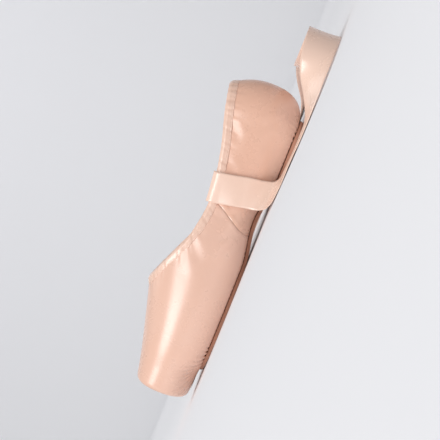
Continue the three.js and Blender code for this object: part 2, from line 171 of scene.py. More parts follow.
@dataclass
class Last:
    """The straight last: its cross-sections, its topline and the outline of its sole.

    Each table's row starts with its station. A section's row then holds half its width, the
    heights of its girth line and its crown, and the power of its dome. A topline's row holds its
    height, and a sole's row half its width.
    """

    length: float
    section_rows: Table = (
        (34, 27.6, 25, 75, 2.0),
        (60, 28.4, 23.5, 77, 2.1),
        (95, 30.8, 22.5, 76, 2.2),
        (130, 36.2, 22.5, 69.5, 2.2),
        (168, 39.4, 23, 60.8, 2.2),
        (200, 36.6, 23.5, 51.8, 2.25),
        (220, 31.0, 24, 46.9, 2.35),
        (236, 26.6, 24.5, 43.4, 2.5),
    )
    topline_rows: Table = (
        (0, 62.5), (30, 55.5), (60, 47), (95, 41.5), (121, 45.2), (139, 52.3), (153, 58.2), (163, 62.4),
    )
    sole_rows: Table = (
        (36, 20), (60, 17.8), (95, 13), (125, 19), (160, 27), (182, 26.6), (202, 22), (214, 18),
    )
    heel_back_height: float = 31.0
    heel_side: RoundEnd = RoundEnd(34, 2.3)
    heel_crown: RoundEnd = RoundEnd(42, 2.0)
    heel_under: RoundEnd = RoundEnd(24, 2.5)
    platform_edge: RoundEnd = RoundEnd(3.6, 2.0)
    feather_power: float = 2.1
    flat_under: float = 0.6
    flat_fade: float = 13.0
    flat_kept: float = 10.0
    arch_rise: float = 4.5
    arch_middle: float = 97.0
    arch_reach: float = 36.0
    spring_start: float = 178.0
    spring_rise: float = 1.4
    spring_power: float = 1.8
    sole_thickness: float = 2.8
    gap: float = 0.3
    sole_tail: float = 17.0
    sole_tip: float = 214.0
    tail_end: RoundEnd = RoundEnd(20, 2.2)
    tip_end: RoundEnd = RoundEnd(15, 1.9)
    margin: float = 7.0
    wall_quarter: float = 1.5
    wall_box: float = 2.9
    wall_platform: float = 3.6
    wall_edge: float = 1.4
    wall_thickens: Pair = (135.0, 180.0)
    wall_front: Pair = (8.0, 6.0)
    wall_above: float = 9.0
    ball_step: int = 15
    finest: float = 0.05
    least: float = 1e-6
    curves: dict[str, Curve] = field(default_factory=dict)
    charted: dict[str, Array] = field(default_factory=dict)

    def __post_init__(self) -> None:
        """Draws the curves through the tables and charts the sections once."""
        stations, *columns = zip(*self.section_rows)
        for name, column in zip(("half", "girth", "crown", "dome"), columns):
            self.curves[name] = Curve(stations, column)
        self.curves["topline"] = Curve(*zip(*self.topline_rows))
        self.curves["sole"] = Curve(*zip(*self.sole_rows))
        at = np.linspace(0, self.length, round(self.length / self.finest) + 1)
        self.charted = {"station": at, **self.section(at)}
        window = np.hanning(round(self.flat_fade / self.finest))
        faded = np.convolve(self.charted["flat"], window / window.sum(), mode="same")
        inside = np.minimum(at - self.sole_tail, self.sole_tip - at)
        self.charted["flat"] = mix(faded, self.charted["flat"], smooth(inside / self.flat_kept - 1))

    def tread(self, station: Numbers) -> Array:
        """How high the outsole's tread stands over the floor: flat at heel and ball."""
        away = np.clip(np.abs(np.asarray(station, float) - self.arch_middle) / self.arch_reach, 0, 1)
        past = np.maximum(0, station - self.spring_start) / (self.length - self.spring_start)
        return self.arch_rise * np.cos(away * math.pi / 2) ** 2 + self.spring_rise * past**self.spring_power

    def under(self, station: Numbers) -> Array:
        """The height of the upper's underside, just clear of the outsole."""
        return self.tread(station) + self.sole_thickness + self.gap

    def sole_half(self, station: Numbers, inset: float = 0.0) -> Array:
        """Half the width of the sole's outline, drawn in on every side by inset."""
        tail = np.maximum(0, station - self.sole_tail - inset)
        tip = np.maximum(0, self.sole_tip - inset - station)
        return (self.curves["sole"](station) - inset) * self.tail_end(tail) * self.tip_end(tip)

    def section(self, station: Array) -> dict[str, Array]:
        """The cross-section at each station.

        Args:
            station: the stations.

        Returns:
            Half width, girth height, underside, crown, half of the flat underneath, and the
            power of the dome's curve.
        """
        edge = self.platform_edge.reach * (1 - self.platform_edge(self.length - station))
        back = self.heel_back_height
        half = self.curves["half"](station) * self.heel_side(station) - edge
        return {
            "half": half,
            "girth": mix(back, self.curves["girth"](station), smooth(station / self.heel_side.reach)),
            "under": mix(back, self.under(station), self.heel_under(station)) + edge,
            "crown": mix(back, self.curves["crown"](station), self.heel_crown(station)) - edge,
            "flat": np.minimum(np.maximum(0, self.sole_half(station) - self.flat_under), half - 1),
            "dome": self.curves["dome"](station),
        }

    def read(self, station: Array, *names: str) -> list[Array]:
        """The charted quantities of those names at each station."""
        return [np.interp(station, self.charted["station"], self.charted[name]) for name in names]

    def holds(self, x: Array, station: Array, z: Array) -> Array:
        """Whether each point lies inside the last.

        Args:
            x: distances from the middle line.
            station: stations.
            z: heights.

        Returns:
            True for each point inside.
        """
        half, girth, under, crown, flat, dome = self.read(
            station, "half", "girth", "under", "crown", "flat", "dome"
        )
        out = np.abs(x)
        within = (station >= 0) & (station <= self.length) & (out < half) & (z > under) & (z < crown)
        over = np.clip((z - girth) / np.maximum(crown - girth, self.least), 0, 1)
        domed = np.clip(out / np.maximum(half, self.least), 0, 1) ** dome + over**dome < 1
        side = np.clip((out - flat) / np.maximum(half - flat, self.least), 0, 1)
        drop = np.clip((girth - z) / np.maximum(girth - under, self.least), 0, 1)
        feathered = side**self.feather_power + drop**self.feather_power < 1
        return within & np.where(z > girth, domed, feathered)

    def wall(self, station: Array, up: Array, from_topline: Array) -> Array:
        """The upper's thickness: thin on its margin and topline, thickest behind the platform.

        Args:
            station: stations.
            up: heights over the margin under the foot.
            from_topline: 0 at the topline, 1 well below it.

        Returns:
            The wall's thickness at each place.
        """
        start, end = self.wall_thickens
        body = mix(self.wall_quarter, self.wall_box, smooth((station - start) / (end - start)))
        behind, over = self.wall_front
        front = mix(body, self.wall_platform, smooth((station - self.length + behind) / over))
        full = np.minimum(smooth(up / self.wall_above), smooth(from_topline))
        return mix(self.wall_edge, front, full)

    def half_left(self, station: Array, z: Array, radius: Array) -> Array:
        """Half the width left at a height once a ball has to clear the last all round.

        Args:
            station: stations.
            z: heights, one for each station.
            radius: the ball's radius at each station.

        Returns:
            Half the width that is left.
        """
        left = np.full(len(station), np.inf)
        for down in np.radians(np.arange(0, 91, self.ball_step)):
            for turn in np.radians(np.arange(0, 181, self.ball_step)):
                at = station + radius * math.cos(down) * math.cos(turn)
                height = z - radius * math.sin(down)
                half, girth, under, flat = self.read(at, "half", "girth", "under", "flat")
                drop = np.clip((girth - height) / np.maximum(girth - under, self.least), 0, 1)
                wide = flat + (half - flat) * (1 - drop**self.feather_power) ** (1 / self.feather_power)
                wide = np.where((at < 0) | (at > self.length) | (height <= under), 0, wide)
                left = np.minimum(left, wide - radius * math.cos(down) * math.sin(turn))
        return np.maximum(0, left)


@dataclass(frozen=True)
class Zone:
    """A stretch of the shoe, how many columns stand in it on one side, and the stations where it
    ends low down and on the topline."""

    until: float
    columns: int
    topline_until: float


@dataclass
class Skin:
    """A net of points on the last: columns round the shoe from the middle of the heel by the +X
    side, rows from the opening under the foot up to the topline."""

    last: Last
    zones: tuple[Zone, ...]
    lower_rows: int
    upper_rows: int
    points: Array = field(init=False)
    normals: Array = field(init=False)

    SAMPLES = 72
    HALVINGS = 22
    FURTHEST = 12.0
    PLATFORM_STEPS = 60
    TOPLINE_STEPS = 4000
    BY_LENGTH = 0.6
    THINNED_SHARE = 4 / 17

    def __post_init__(self) -> None:
        """Solves the net."""
        low_ends = [zone.until for zone in self.zones]
        girth = self.columns_along(self.girth_line(), low_ends)
        opening = self.columns_along(self.opening_line(), low_ends)
        topline = self.columns_along(self.topline_line(), [zone.topline_until for zone in self.zones])
        level = self.last.read(girth[:, 1], "girth")[0]
        fall = self.last.read(opening[:, 1], "under")[0] - level
        rise = self.last.curves["topline"](topline[:, 1]) - level
        below = self.arc(opening, girth, level, fall, self.lower_rows)
        above = self.arc(topline, girth, level, rise, self.upper_rows)[:, ::-1]
        half = np.concatenate([below, above[:, 1:]], axis=1)
        other = half[1:-1][::-1] * np.array([-1.0, 1.0, 1.0])
        self.points = np.concatenate([half, other])
        round_it = np.roll(self.points, -1, axis=0) - np.roll(self.points, 1, axis=0)
        self.normals = unit(np.cross(np.gradient(self.points, axis=1), round_it))

    @property
    def station(self) -> Array:
        """The station of every point."""
        return self.last.length / 2 - self.points[:, :, 1]

    @property
    def x(self) -> Array:
        """How far every point is from the middle line, towards +X."""
        return self.points[:, :, 0]

    @property
    def height(self) -> Array:
        """The height of every point."""
        return self.points[:, :, 2]

    @property
    def from_sole(self) -> Array:
        """How far each point is from the edge of the sole, below 0 under the foot."""
        return run_along(self.points) - self.last.margin

    @property
    def below_topline(self) -> Array:
        """How far each point is from the topline, along its column."""
        climbed = run_along(self.points)
        return climbed[:, -1:] - climbed

    @property
    def throat(self) -> float:
        """The station of the middle of the throat."""
        return float(self.station[:, -1].max())

    def round_length(self, row: int) -> Array:
        """How far each column of a row is round the shoe, with a last one that closes the ring."""
        return run_along(np.concatenate([self.points[:, row], self.points[:1, row]]))

    def girth_line(self) -> Array:
        """Half of the widest outline: the heel, the side and across the platform."""
        at = eased(0, self.last.length)
        side = np.stack([np.maximum(0, self.last.section(at)["half"]), at], axis=1)
        across = np.linspace(side[-1, 0], 0, self.PLATFORM_STEPS + 1)[1:]
        return np.concatenate([side, np.stack([across, np.full(len(across), self.last.length)], axis=1)])

    def topline_line(self) -> Array:
        """Half of the topline, seen from above.

        Returns:
            Points (x, station) from heel to throat.
        """
        fine = np.linspace(0, self.last.length, self.TOPLINE_STEPS + 1)
        over = self.last.curves["topline"](fine) > self.last.section(fine)["crown"]
        changes = (fine[1:] + fine[:-1])[over[1:] != over[:-1]] / 2
        at = eased(changes[0], changes[-1])
        section = self.last.section(at)
        height = self.last.curves["topline"](at)
        up = np.clip((height - section["girth"]) / (section["crown"] - section["girth"]), 0, 1)
        x = section["half"] * (1 - up ** section["dome"]) ** (1 / section["dome"])
        x[[0, -1]] = 0
        return np.stack([x, at], axis=1)

    def opening_line(self) -> Array:
        """Half of the opening under the foot, seen from above."""
        margin = self.last.margin
        at = eased(self.last.sole_tail + margin, self.last.sole_tip - margin)
        return np.stack([self.last.sole_half(at, margin), at], axis=1)

    def columns_along(self, line: Array, ends: Sequence[float]) -> Array:
        """Places the columns on a line, evenly within each zone.

        Args:
            line: points (x, station) from heel to toe.
            ends: the station where each zone ends on it.

        Returns:
            One point for each column of one side.
        """
        run = run_along(line)
        stops = [0.0]
        for end in ends:
            whole = end >= self.last.length or end > line[-1, 1]
            stops.append(run[-1] if whole else float(np.interp(end, line[:, 1], run)))
        places = [np.zeros(1)]
        for zone, start, end in zip(self.zones, stops, stops[1:]):
            places.append(np.linspace(start, end, zone.columns + 1)[1:])
        return read_along(np.concatenate(places), run, line)

    def arc(
        self, inner: Array, outer: Array, level: Array, rise: Array, count: int
    ) -> Array:
        """Quarter arcs on the last, each upright over the line from inner out to outer.

        Args:
            inner: (x, station) of each arc's start, which lies rise over its end.
            outer: (x, station) of each arc's end on the girth line.
            level: the girth line's height at each arc.
            rise: how far each arc's start lies over the girth line, or under it below 0.
            count: how many steps each arc gets.

        Returns:
            The arcs' points, shorter steps where they bend more.
        """
        turns = np.repeat(np.linspace(math.pi / 2, 0, self.SAMPLES + 1)[None, :], len(inner), axis=0)
        steps = np.diff(self.on_last(inner, outer, level, rise, turns), axis=1)
        length = np.linalg.norm(steps, axis=2)
        ways = unit(steps)
        bend = np.arccos(np.clip(np.sum(ways[:, 1:] * ways[:, :-1], axis=2), -1, 1))
        start = np.zeros((len(inner), 1))
        bend = np.concatenate([start, bend], axis=1)
        by_length, by_bend = (part / part.sum(axis=1, keepdims=True) for part in (length, bend))
        share = mix(by_bend, by_length, self.BY_LENGTH)
        measure = np.concatenate([start, np.cumsum(share, axis=1)], axis=1)
        wanted = np.linspace(0, 1, count + 1)
        even = np.stack([np.interp(wanted, m / m[-1], t) for m, t in zip(measure, turns)])
        return self.on_last(inner, outer, level, rise, even)

    def on_last(
        self, inner: Array, outer: Array, level: Array, rise: Array, turns: Array
    ) -> Array:
        """Where rays from over (or under) each arc's start meet the last.

        Args:
            inner: (x, station) of each arc's start.
            outer: (x, station) of each arc's end.
            level: the height of each arc's end.
            rise: how far its start lies over that.
            turns: the rays' angles, a row for each arc.

        Returns:
            The points in the shoe's frame.
        """
        way = (outer - inner)[:, :, None] * np.cos(turns)[:, None, :]
        up = rise[:, None] * np.sin(turns)
        near, far = np.zeros(turns.shape), np.full(turns.shape, self.FURTHEST)
        for _ in range(self.HALVINGS):
            reach = (near + far) / 2
            x, station = (inner[:, k : k + 1] + reach * way[:, k] for k in (0, 1))
            held = self.last.holds(x, station, level[:, None] + reach * up)
            near, far = np.where(held, reach, near), np.where(held, far, reach)
        x = inner[:, :1] + near * way[:, 0]
        y = self.last.length / 2 - inner[:, 1:] - near * way[:, 1]
        return np.stack([x, y, level[:, None] + near * up], axis=2)

    def inner_points(self) -> Array:
        """The net of the inside: each point moved in by the wall's thickness."""
        up = self.height - self.last.under(self.station)
        from_topline = np.linspace(1, 0, self.points.shape[1]) / self.THINNED_SHARE
        wall = self.last.wall(self.station, up, from_topline[None, :])
        return self.points - self.normals * wall[:, :, None]


@dataclass(frozen=True)
class Crease:
    """A soft trough in the satin with a lower ridge along each side of it.

    It runs from one (station, height) to another, on side 1 or -1 or, at 0, on both.
    """

    start: Pair
    end: Pair
    width: float
    depth: float
    side: int = 0

    PROFILE = ((-1.0, 0.0, 1.0), (0.5, 2.1, 1.0), (0.5, -2.1, 1.0))
    PAST_ENDS = 0.1
    START_OVER = 0.35
    END_OVER = 0.45
    CLEAR_OF_MIDDLE = 2.0

    def lift(self, station: Array, height: Array, x: Array) -> Array:
        """The crease's shape.

        Args:
            station: the points' stations.
            height: their heights.
            x: their distances from the middle line.

        Returns:
            How far it moves each point outwards.
        """
        ahead = np.array(self.end, float) - np.array(self.start, float)
        length = float(np.hypot(*ahead))
        ahead /= length
        share = ((station - self.start[0]) * ahead[0] + (height - self.start[1]) * ahead[1]) / length
        across = (station - self.start[0]) * -ahead[1] + (height - self.start[1]) * ahead[0]
        starts = smooth((share + self.PAST_ENDS) / self.START_OVER)
        ends = smooth((1 + self.PAST_ENDS - share) / self.END_OVER)
        sided = 1.0 if self.side == 0 else (np.sign(x) == self.side)
        shown = starts * ends * sided * (np.abs(x) > self.CLEAR_OF_MIDDLE)
        return self.depth * humps(across / self.width, self.PROFILE) * shown


@dataclass(frozen=True)
class Pleats:
    """Folds that fan out from one end of the sole, where the satin is drawn in under it.

    Turns are in degrees, 0 straight towards the end. "shorter_ahead" and "shorter_beside" are
    shares of the folds' lengths.
    """

    centre: float
    towards: int
    pitch: float
    spread: float
    height: float
    shorter_ahead: float
    lengths: tuple[float, ...]
    crest: float = 0.58
    shorter_beside: float = 0.3
    ahead_until: float = 35.0
    beside_from: float = 55.0
    beside_over: float = 40.0
    fades_over: float = 14.0
    under_sole: Pair = (1.5, 2.5)
    stray: float = 1.4
    stray_rate: float = 7.3
    taper: float = 1.2
    sunk: float = 0.6
    most: int = 60

    def lift(self, station: Array, x: Array, from_sole: Array) -> tuple[Array, Array]:
        """The folds' shape.

        Args:
            station: the points' stations.
            x: their distances from the middle line.
            from_sole: their distances from the sole's edge.

        Returns:
            How far the folds move each point outwards, and how deep in a valley it is from 0 to 1, which
            sets the painted shade in the valleys.
        """
        turn = np.degrees(np.arctan2(np.abs(x), (station - self.centre) * self.towards))
        place = (turn + self.stray * np.sin(np.radians(turn * self.stray_rate))) / self.pitch + 0.5
        index = np.clip(np.floor(place).astype(int), 0, self.most)
        inside = place - np.floor(place)
        rising, falling = smooth(inside / self.crest), smooth((1 - inside) / (1 - self.crest))
        fold = np.where(inside < self.crest, rising, falling)
        beside = mix(1, self.shorter_beside, smooth((turn - self.beside_from) / self.beside_over))
        ahead = mix(self.shorter_ahead, 1, smooth(turn / self.ahead_until)) * beside
        start, over = self.under_sole
        edge = 1 - smooth((turn - self.spread + self.fades_over) / self.fades_over)
        fan = smooth((from_sole + start) / over) * edge
        length = np.array(self.lengths)[index % len(self.lengths)]
        amount, mean = (
            fan * np.clip(1 - from_sole / (reach * ahead), 0, 1) ** self.taper
            for reach in (length, np.mean(self.lengths))
        )
        return self.height * (fold * amount - self.sunk * mean), (1 - fold) ** 2 * amount


@dataclass
class Upper:
    """The satin upper: vamp, quarters and stiffened box in one skin, with its lining inside.

    A profile's row is a height, a place and a width across a seam. A wave's row is a height, its
    radians in a millimetre and its start. A tuck's row is its height, its distance from the middle
    and its width, then its distance in front of the throat and its length. The pairs for what is
    gathered and for the worn edge are an amount and a reach. Every other pair says where a change
    starts and how far it takes.
    """

    last: Last
    zones: tuple[Zone, ...] = (
        Zone(40, 76, 40), Zone(120, 84, 112), Zone(184, 58, 138), Zone(236, 206, 236),
    )
    lower_rows: int = 58
    upper_rows: int = 26
    lining_step: int = 3
    toe_pleats: Pleats = Pleats(196, 1, 7.8, 104, 1.35, 0.6, (25, 31, 22, 28, 33, 24, 30, 21, 27))
    heel_pleats: Pleats = Pleats(36, -1, 10.0, 96, 0.75, 0.8, (12, 16, 11, 14, 10))
    creases: tuple[Crease, ...] = (
        Crease((88, 15), (104, 30), 2.4, 0.40),
        Crease((100, 11), (119, 25), 2.2, 0.36),
        Crease((77, 12), (88, 25), 2.4, 0.30),
        Crease((113, 12), (131, 22), 2.4, 0.26),
        Crease((124, 44), (138, 30), 3.6, 0.24),
        Crease((139, 49), (153, 37), 3.4, 0.18),
        Crease((63, 43), (71, 30), 2.8, 0.26),
        Crease((38, 49), (47, 37), 3.0, 0.28),
        Crease((24, 16), (33, 29), 2.8, 0.28),
        Crease((70, 36), (92, 33), 3.2, 0.24, 1),
        Crease((96, 37), (122, 31), 3.0, 0.22, -1),
    )
    seam_top: float = 92.0
    seam_foot: float = 108.0
    seam_bends: Pair = (5.0, 38.0)
    seam_profile: Table = ((-0.22, 0.0, 1.5), (0.14, 2.2, 1.4), (0.14, -2.2, 1.4))
    seam_step: float = 0.16
    seam_step_over: float = 1.2
    back_seam_until: float = 60.0
    back_seam_profile: Table = ((0.14, 2.0, 1.2), (-0.32, 0.0, 0.7))
    back_seam_mark: float = 0.5
    sole_pucker: float = 0.11
    sole_pucker_over: float = 5.0
    sole_puckers: Table = ((1.0, 2.05, 0.0), (0.6, 3.17, 1.2), (0.5, 1.31, 0.4))
    gather: float = 0.085
    gathers: Table = ((1.0, 1.21, 0.7), (0.8, 0.83, 2.1), (0.5, 1.9, 0.0))
    gathered: float = 0.5
    gathered_throat: Pair = (0.7, 14.0)
    gathered_heel: Pair = (0.5, 26.0)
    gather_rises: float = 3.0
    gather_fades: Pair = (6.0, 9.0)
    throat_tuck: Table = ((-0.5, 0.0, 1.5, 6.5, 4.0), (0.2, 3.0, 1.4, 7.0, 5.0))
    throat_above: float = 50.0
    wander: float = 0.055
    wander_starts: float = 6.0
    wander_ends: float = 8.0
    # Shares of the heel pleats' valleys and the throat's tuck in the painted shade of the folds.
    heel_shade_share: float = 0.8
    tuck_shade_share: float = 0.8
    # The dark line along the sole's edge: partly glue, partly painted shade in the gap.
    line_below: float = 0.1
    line_width: float = 0.75
    line_until: float = 3.0
    front_starts: Pair = (7.0, 6.0)
    worn_edge: Pair = (0.5, 6.0)
    worn_starts: Pair = (190.0, 20.0)
    skin: Skin = field(init=False)

    SEAM_ZERO = 10.0
    NOWHERE = 99.0

    def __post_init__(self) -> None:
        """Solves the skin."""
        self.skin = Skin(self.last, self.zones, self.lower_rows, self.upper_rows)

    def seams(self) -> tuple[Array, dict[str, Array]]:
        """The side seam, the heel seam and the puckers along the sole.

        Returns:
            How far they move each point outwards, and the seams' marks.
        """
        station, from_sole = self.skin.station, self.skin.from_sole
        shown = smooth((from_sole + 1) / 2)
        start, over = self.seam_bends
        seam = station - mix(self.seam_foot, self.seam_top, smooth((self.skin.height - start) / over))
        step = self.seam_step * smooth(seam / self.seam_step_over + 0.5)
        back = np.where(station < self.back_seam_until, np.abs(self.skin.x), self.NOWHERE)
        around = self.skin.round_length(self.lower_rows)[:-1][:, None]
        near = 1 - smooth((from_sole - 0.5) / self.sole_pucker_over)
        puckers = self.sole_pucker * ripples(around, self.sole_puckers) * near
        lift = step + humps(seam, self.seam_profile) + humps(back, self.back_seam_profile) + puckers
        marks = {
            "seam": np.clip(seam, -self.SEAM_ZERO, self.SEAM_ZERO) + self.SEAM_ZERO,
            "back_seam": hump(back, self.back_seam_mark) * shown,
        }
        return lift * shown, marks

    def drawn_in(self) -> tuple[Array, Array]:
        """The gathers under the binding, with the tuck at the throat.

        Returns:
            How far they move each point outwards, and how deep in the tuck it is, which sets the painted
            shade in the tuck.
        """
        station, depth, throat = self.skin.station, self.skin.below_topline, self.skin.throat
        rim = self.skin.round_length(-1)[:-1][:, None]
        most, width = self.gathered_throat
        heel_most, heel_width = self.gathered_heel
        drawn = self.gathered + humps(station, ((most, throat, width), (heel_most, 0.0, heel_width)))
        start, over = self.gather_fades
        shown = smooth(depth / self.gather_rises) * (1 - smooth((depth - start) / over))
        lift = self.gather * ripples(rim, self.gathers) * drawn * shown
        out, high = np.abs(self.skin.x), self.skin.height > self.throat_above
        tucks = []
        for amount, place, width, ahead, reach in self.throat_tuck:
            tucks.append(hump(out - place, width) * hump(station - throat - ahead, reach) * high)
            lift += amount * tucks[-1]
        return lift, tucks[0]

    def relief(self) -> tuple[Array, dict[str, Array]]:
        """The satin's relief over the last.

        Returns:
            How far each point moves outwards, and the marks that the finish reads.
        """
        skin = self.skin
        station, x, height, from_sole = skin.station, skin.x, skin.height, skin.from_sole
        toe, toe_valley_shade = self.toe_pleats.lift(station, x, from_sole)
        heel, heel_valley_shade = self.heel_pleats.lift(station, x, from_sole)
        seams, marks = self.seams()
        gathers, tuck = self.drawn_in()
        creases = sum(crease.lift(station, height, x) for crease in self.creases)
        wander = (
            np.sin(station / 9.1 + 1.7 * np.sin(height / 15.0 + x / 30))
            + 0.8 * np.sin(station / 5.3 + height / 8.0 + 1.3)
            + 0.6 * np.sin(station / 14.0 - x / 11.0 + 0.5)
        )
        to_toe = self.last.length - station
        loose = smooth(from_sole / self.wander_starts) * smooth(to_toe / self.wander_ends)
        lift = toe + heel + seams + gathers + creases + self.wander * wander * loose
        behind, over = self.front_starts
        front = smooth((behind - to_toe) / over)
        (amount, reach), (start, over) = self.worn_edge, self.worn_starts
        edge = amount * hump(from_sole, reach) * smooth((station - start) / over)
        # Partly a glue line, partly painted shade in the gap at the sole's edge.
        line = hump(from_sole + self.line_below, self.line_width)
        marks |= {
            "sole_line": line * (from_sole > -self.line_until),
            # Painted shade: deepest in the pleats' valleys and the throat's tuck, where the satin is
            # darkened.
            "fold": np.clip(toe_valley_shade + self.heel_shade_share * heel_valley_shade + self.tuck_shade_share * tuck, 0, 1),
            "lining": np.zeros(station.shape),
            "wear": np.clip(front + edge, 0, 1),
        }
        return lift, marks

    def build(self, satin: Material, lining: Material) -> bpy.types.Object:
        """Makes the upper as one closed wall.

        Args:
            satin: the outside's finish.
            lining: the inside's finish.

        Returns:
            The finished piece.
        """
        lift, marks = self.relief()
        outer = self.skin.points + self.skin.normals * lift[:, :, None]
        inside = self.skin.inner_points()[:, ::-1][:, :: self.lining_step]
        net = np.concatenate([outer, inside, outer[:, :1]], axis=1)
        spare = np.zeros((len(net), inside.shape[1]))
        marks = {
            name: np.concatenate([value, spare + (name == "lining"), value[:, :1]], axis=1)
            for name, value in marks.items()
        }
        around = self.skin.round_length(self.lower_rows)
        form = Net(net, around=around, up=run_along(net).mean(axis=0), marks=marks, ring=True).bmesh()
        layer = form.verts.layers.float["lining"]
        for face in form.faces:
            face.material_index = int(all(vert[layer] > 0.5 for vert in face.verts))
        return piece("satin_upper", form, [satin, lining], "satin", ("upper",))


@dataclass
class Net:
    """A net of points that becomes a mesh: columns by rows, in millimetres."""

    points: Array
    around: Array | None = None
    up: Array | None = None
    marks: dict[str, Array] = field(default_factory=dict)
    ring: bool = False

    WELD = 1e-7

    def bmesh(self) -> Form:
        """Shapes a grid to the net and welds it where it meets itself.

        Returns:
            The mesh, with a UV map in metres and a float layer for each mark.
        """
        points, marks = self.points, dict(self.marks)
        if self.ring:
            points = np.concatenate([points, points[:1]])
            marks = {name: np.concatenate([value, value[:1]]) for name, value in marks.items()}
        columns, rows = points.shape[:2]
        form = bmesh.new()
        bmesh.ops.create_grid(form, x_segments=rows - 1, y_segments=columns - 1, size=1.0)
        form.verts.ensure_lookup_table()
        for vert, place in zip(form.verts, points.reshape(-1, 3) * MM):
            vert.co = place
        for name, value in marks.items():
            layer = form.verts.layers.float.new(name)
            for vert, amount in zip(form.verts, value.ravel()):
                vert[layer] = float(amount)
        if self.around is not None and self.up is not None:
            flat = np.stack(np.broadcast_arrays(self.around[:, None], self.up[None, :]), axis=2)
            flat = (flat.reshape(-1, 2) * MM).tolist()
            layer = form.loops.layers.uv.new("UVMap")
            for face in form.faces:
                for loop in face.loops:
                    loop[layer].uv = flat[loop.vert.index]
        bmesh.ops.remove_doubles(form, verts=form.verts, dist=self.WELD)
        form.faces.index_update()
        return softly(form)


def softly(form: Form) -> Form:
    """Shades every face of a form smoothly and hands it back."""
    for face in form.faces:
        face.smooth = True
    return form


def piece(
    name: str, form: Form, finishes: Sequence[Material], slot: str = "", stands_for: Sequence[str] = ()
) -> bpy.types.Object:
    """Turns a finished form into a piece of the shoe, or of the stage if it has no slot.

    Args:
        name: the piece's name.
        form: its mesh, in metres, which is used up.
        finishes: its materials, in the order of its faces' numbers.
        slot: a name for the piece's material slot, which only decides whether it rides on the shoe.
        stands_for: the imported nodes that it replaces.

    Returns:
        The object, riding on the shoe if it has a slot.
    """
    mesh = bpy.data.meshes.new(name)
    form.to_mesh(mesh)
    form.free()
    for finish in finishes:
        mesh.materials.append(finish)
    made = bpy.data.objects.new(name, mesh)
    bpy.context.scene.collection.objects.link(made)
    if slot:
        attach(made, BODY)
    if stands_for:
        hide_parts(*stands_for)
    LOG.info("%s: %d faces", name, len(mesh.polygons))
    return made


def raise_face(form: Form, start: Array, end: Array) -> list[bmesh.types.BMVert]:
    """Raises one face of a flat piece to its other face.

    Args:
        form: the mesh made from the first face's net.
        start: that net.
        end: the other face's net.

    Returns:
        The raised corners.
    """
    flat, goal = start.reshape(-1, 3) * MM, end.reshape(-1, 3) * MM
    nearest = [int(np.argmin(np.sum((flat - np.array(vert.co)) ** 2, axis=1))) for vert in form.verts]
    places = {tuple(vert.co): goal[i] for vert, i in zip(form.verts, nearest)}
    made = bmesh.ops.extrude_face_region(form, geom=form.faces[:], use_keep_orig=True)
    raised = [part for part in made["geom"] if isinstance(part, bmesh.types.BMVert)]
    for vert in raised:
        vert.co = places[tuple(vert.co)]
    return raised


def round_rims(form: Form, rounding: float, segments: int, sharp: float = 0.9) -> None:
    """Turns a raised form's faces outwards and rounds its rims.

    Args:
        form: the form.
        rounding: how far the rounding reaches, in millimetres.
        segments: how many faces it gets across.
        sharp: the angle in radians past which an edge is a rim.
    """
    bmesh.ops.recalc_face_normals(form, faces=form.faces)
    rims = [edge for edge in form.edges if len(edge.link_faces) == 2 and edge.calc_face_angle(0) > sharp]
    bmesh.ops.bevel(
        form,
        geom=rims,
        offset=rounding * MM,
        offset_type="OFFSET",
        affect="EDGES",
        segments=segments,
        profile=0.5,
        material=-1,
    )
    softly(form)


def stitched(line: Array, ways: Array, length: float, pitch: float, radius: float) -> Form:
    """Lays stitches along a line that comes back to its start.

    Args:
        line: the line's points.
        ways: the direction away from the cloth at each.
        length: a stitch's length.
        pitch: the distance from one stitch to the next.
        radius: half the thread's thickness.

    Returns:
        The stitches in one mesh.
    """
    line, ways = np.concatenate([line, line[:1]]), np.concatenate([ways, ways[:1]])
    run = run_along(line)
    count = max(1, int(run[-1] / pitch))
    size = Matrix.Diagonal((length / 2 * MM, radius * MM, radius * MM, 1))
    form = bmesh.new()
    for i in range(count):
        middle = (i + 0.5) * run[-1] / count
        start, end = (read_along(middle + side * length / 2, run, line) for side in (-1, 1))
        along = Vector(end - start).normalized()
        across = along.cross(Vector(read_along(middle, run, ways))).normalized()
        turn = Matrix((along, across, along.cross(across))).transposed().to_4x4()
        place = Matrix.Translation(Vector((start + end) / 2 * MM))
        bmesh.ops.create_uvsphere(form, u_segments=6, v_segments=5, radius=1.0, matrix=place @ turn @ size)
    return softly(form)


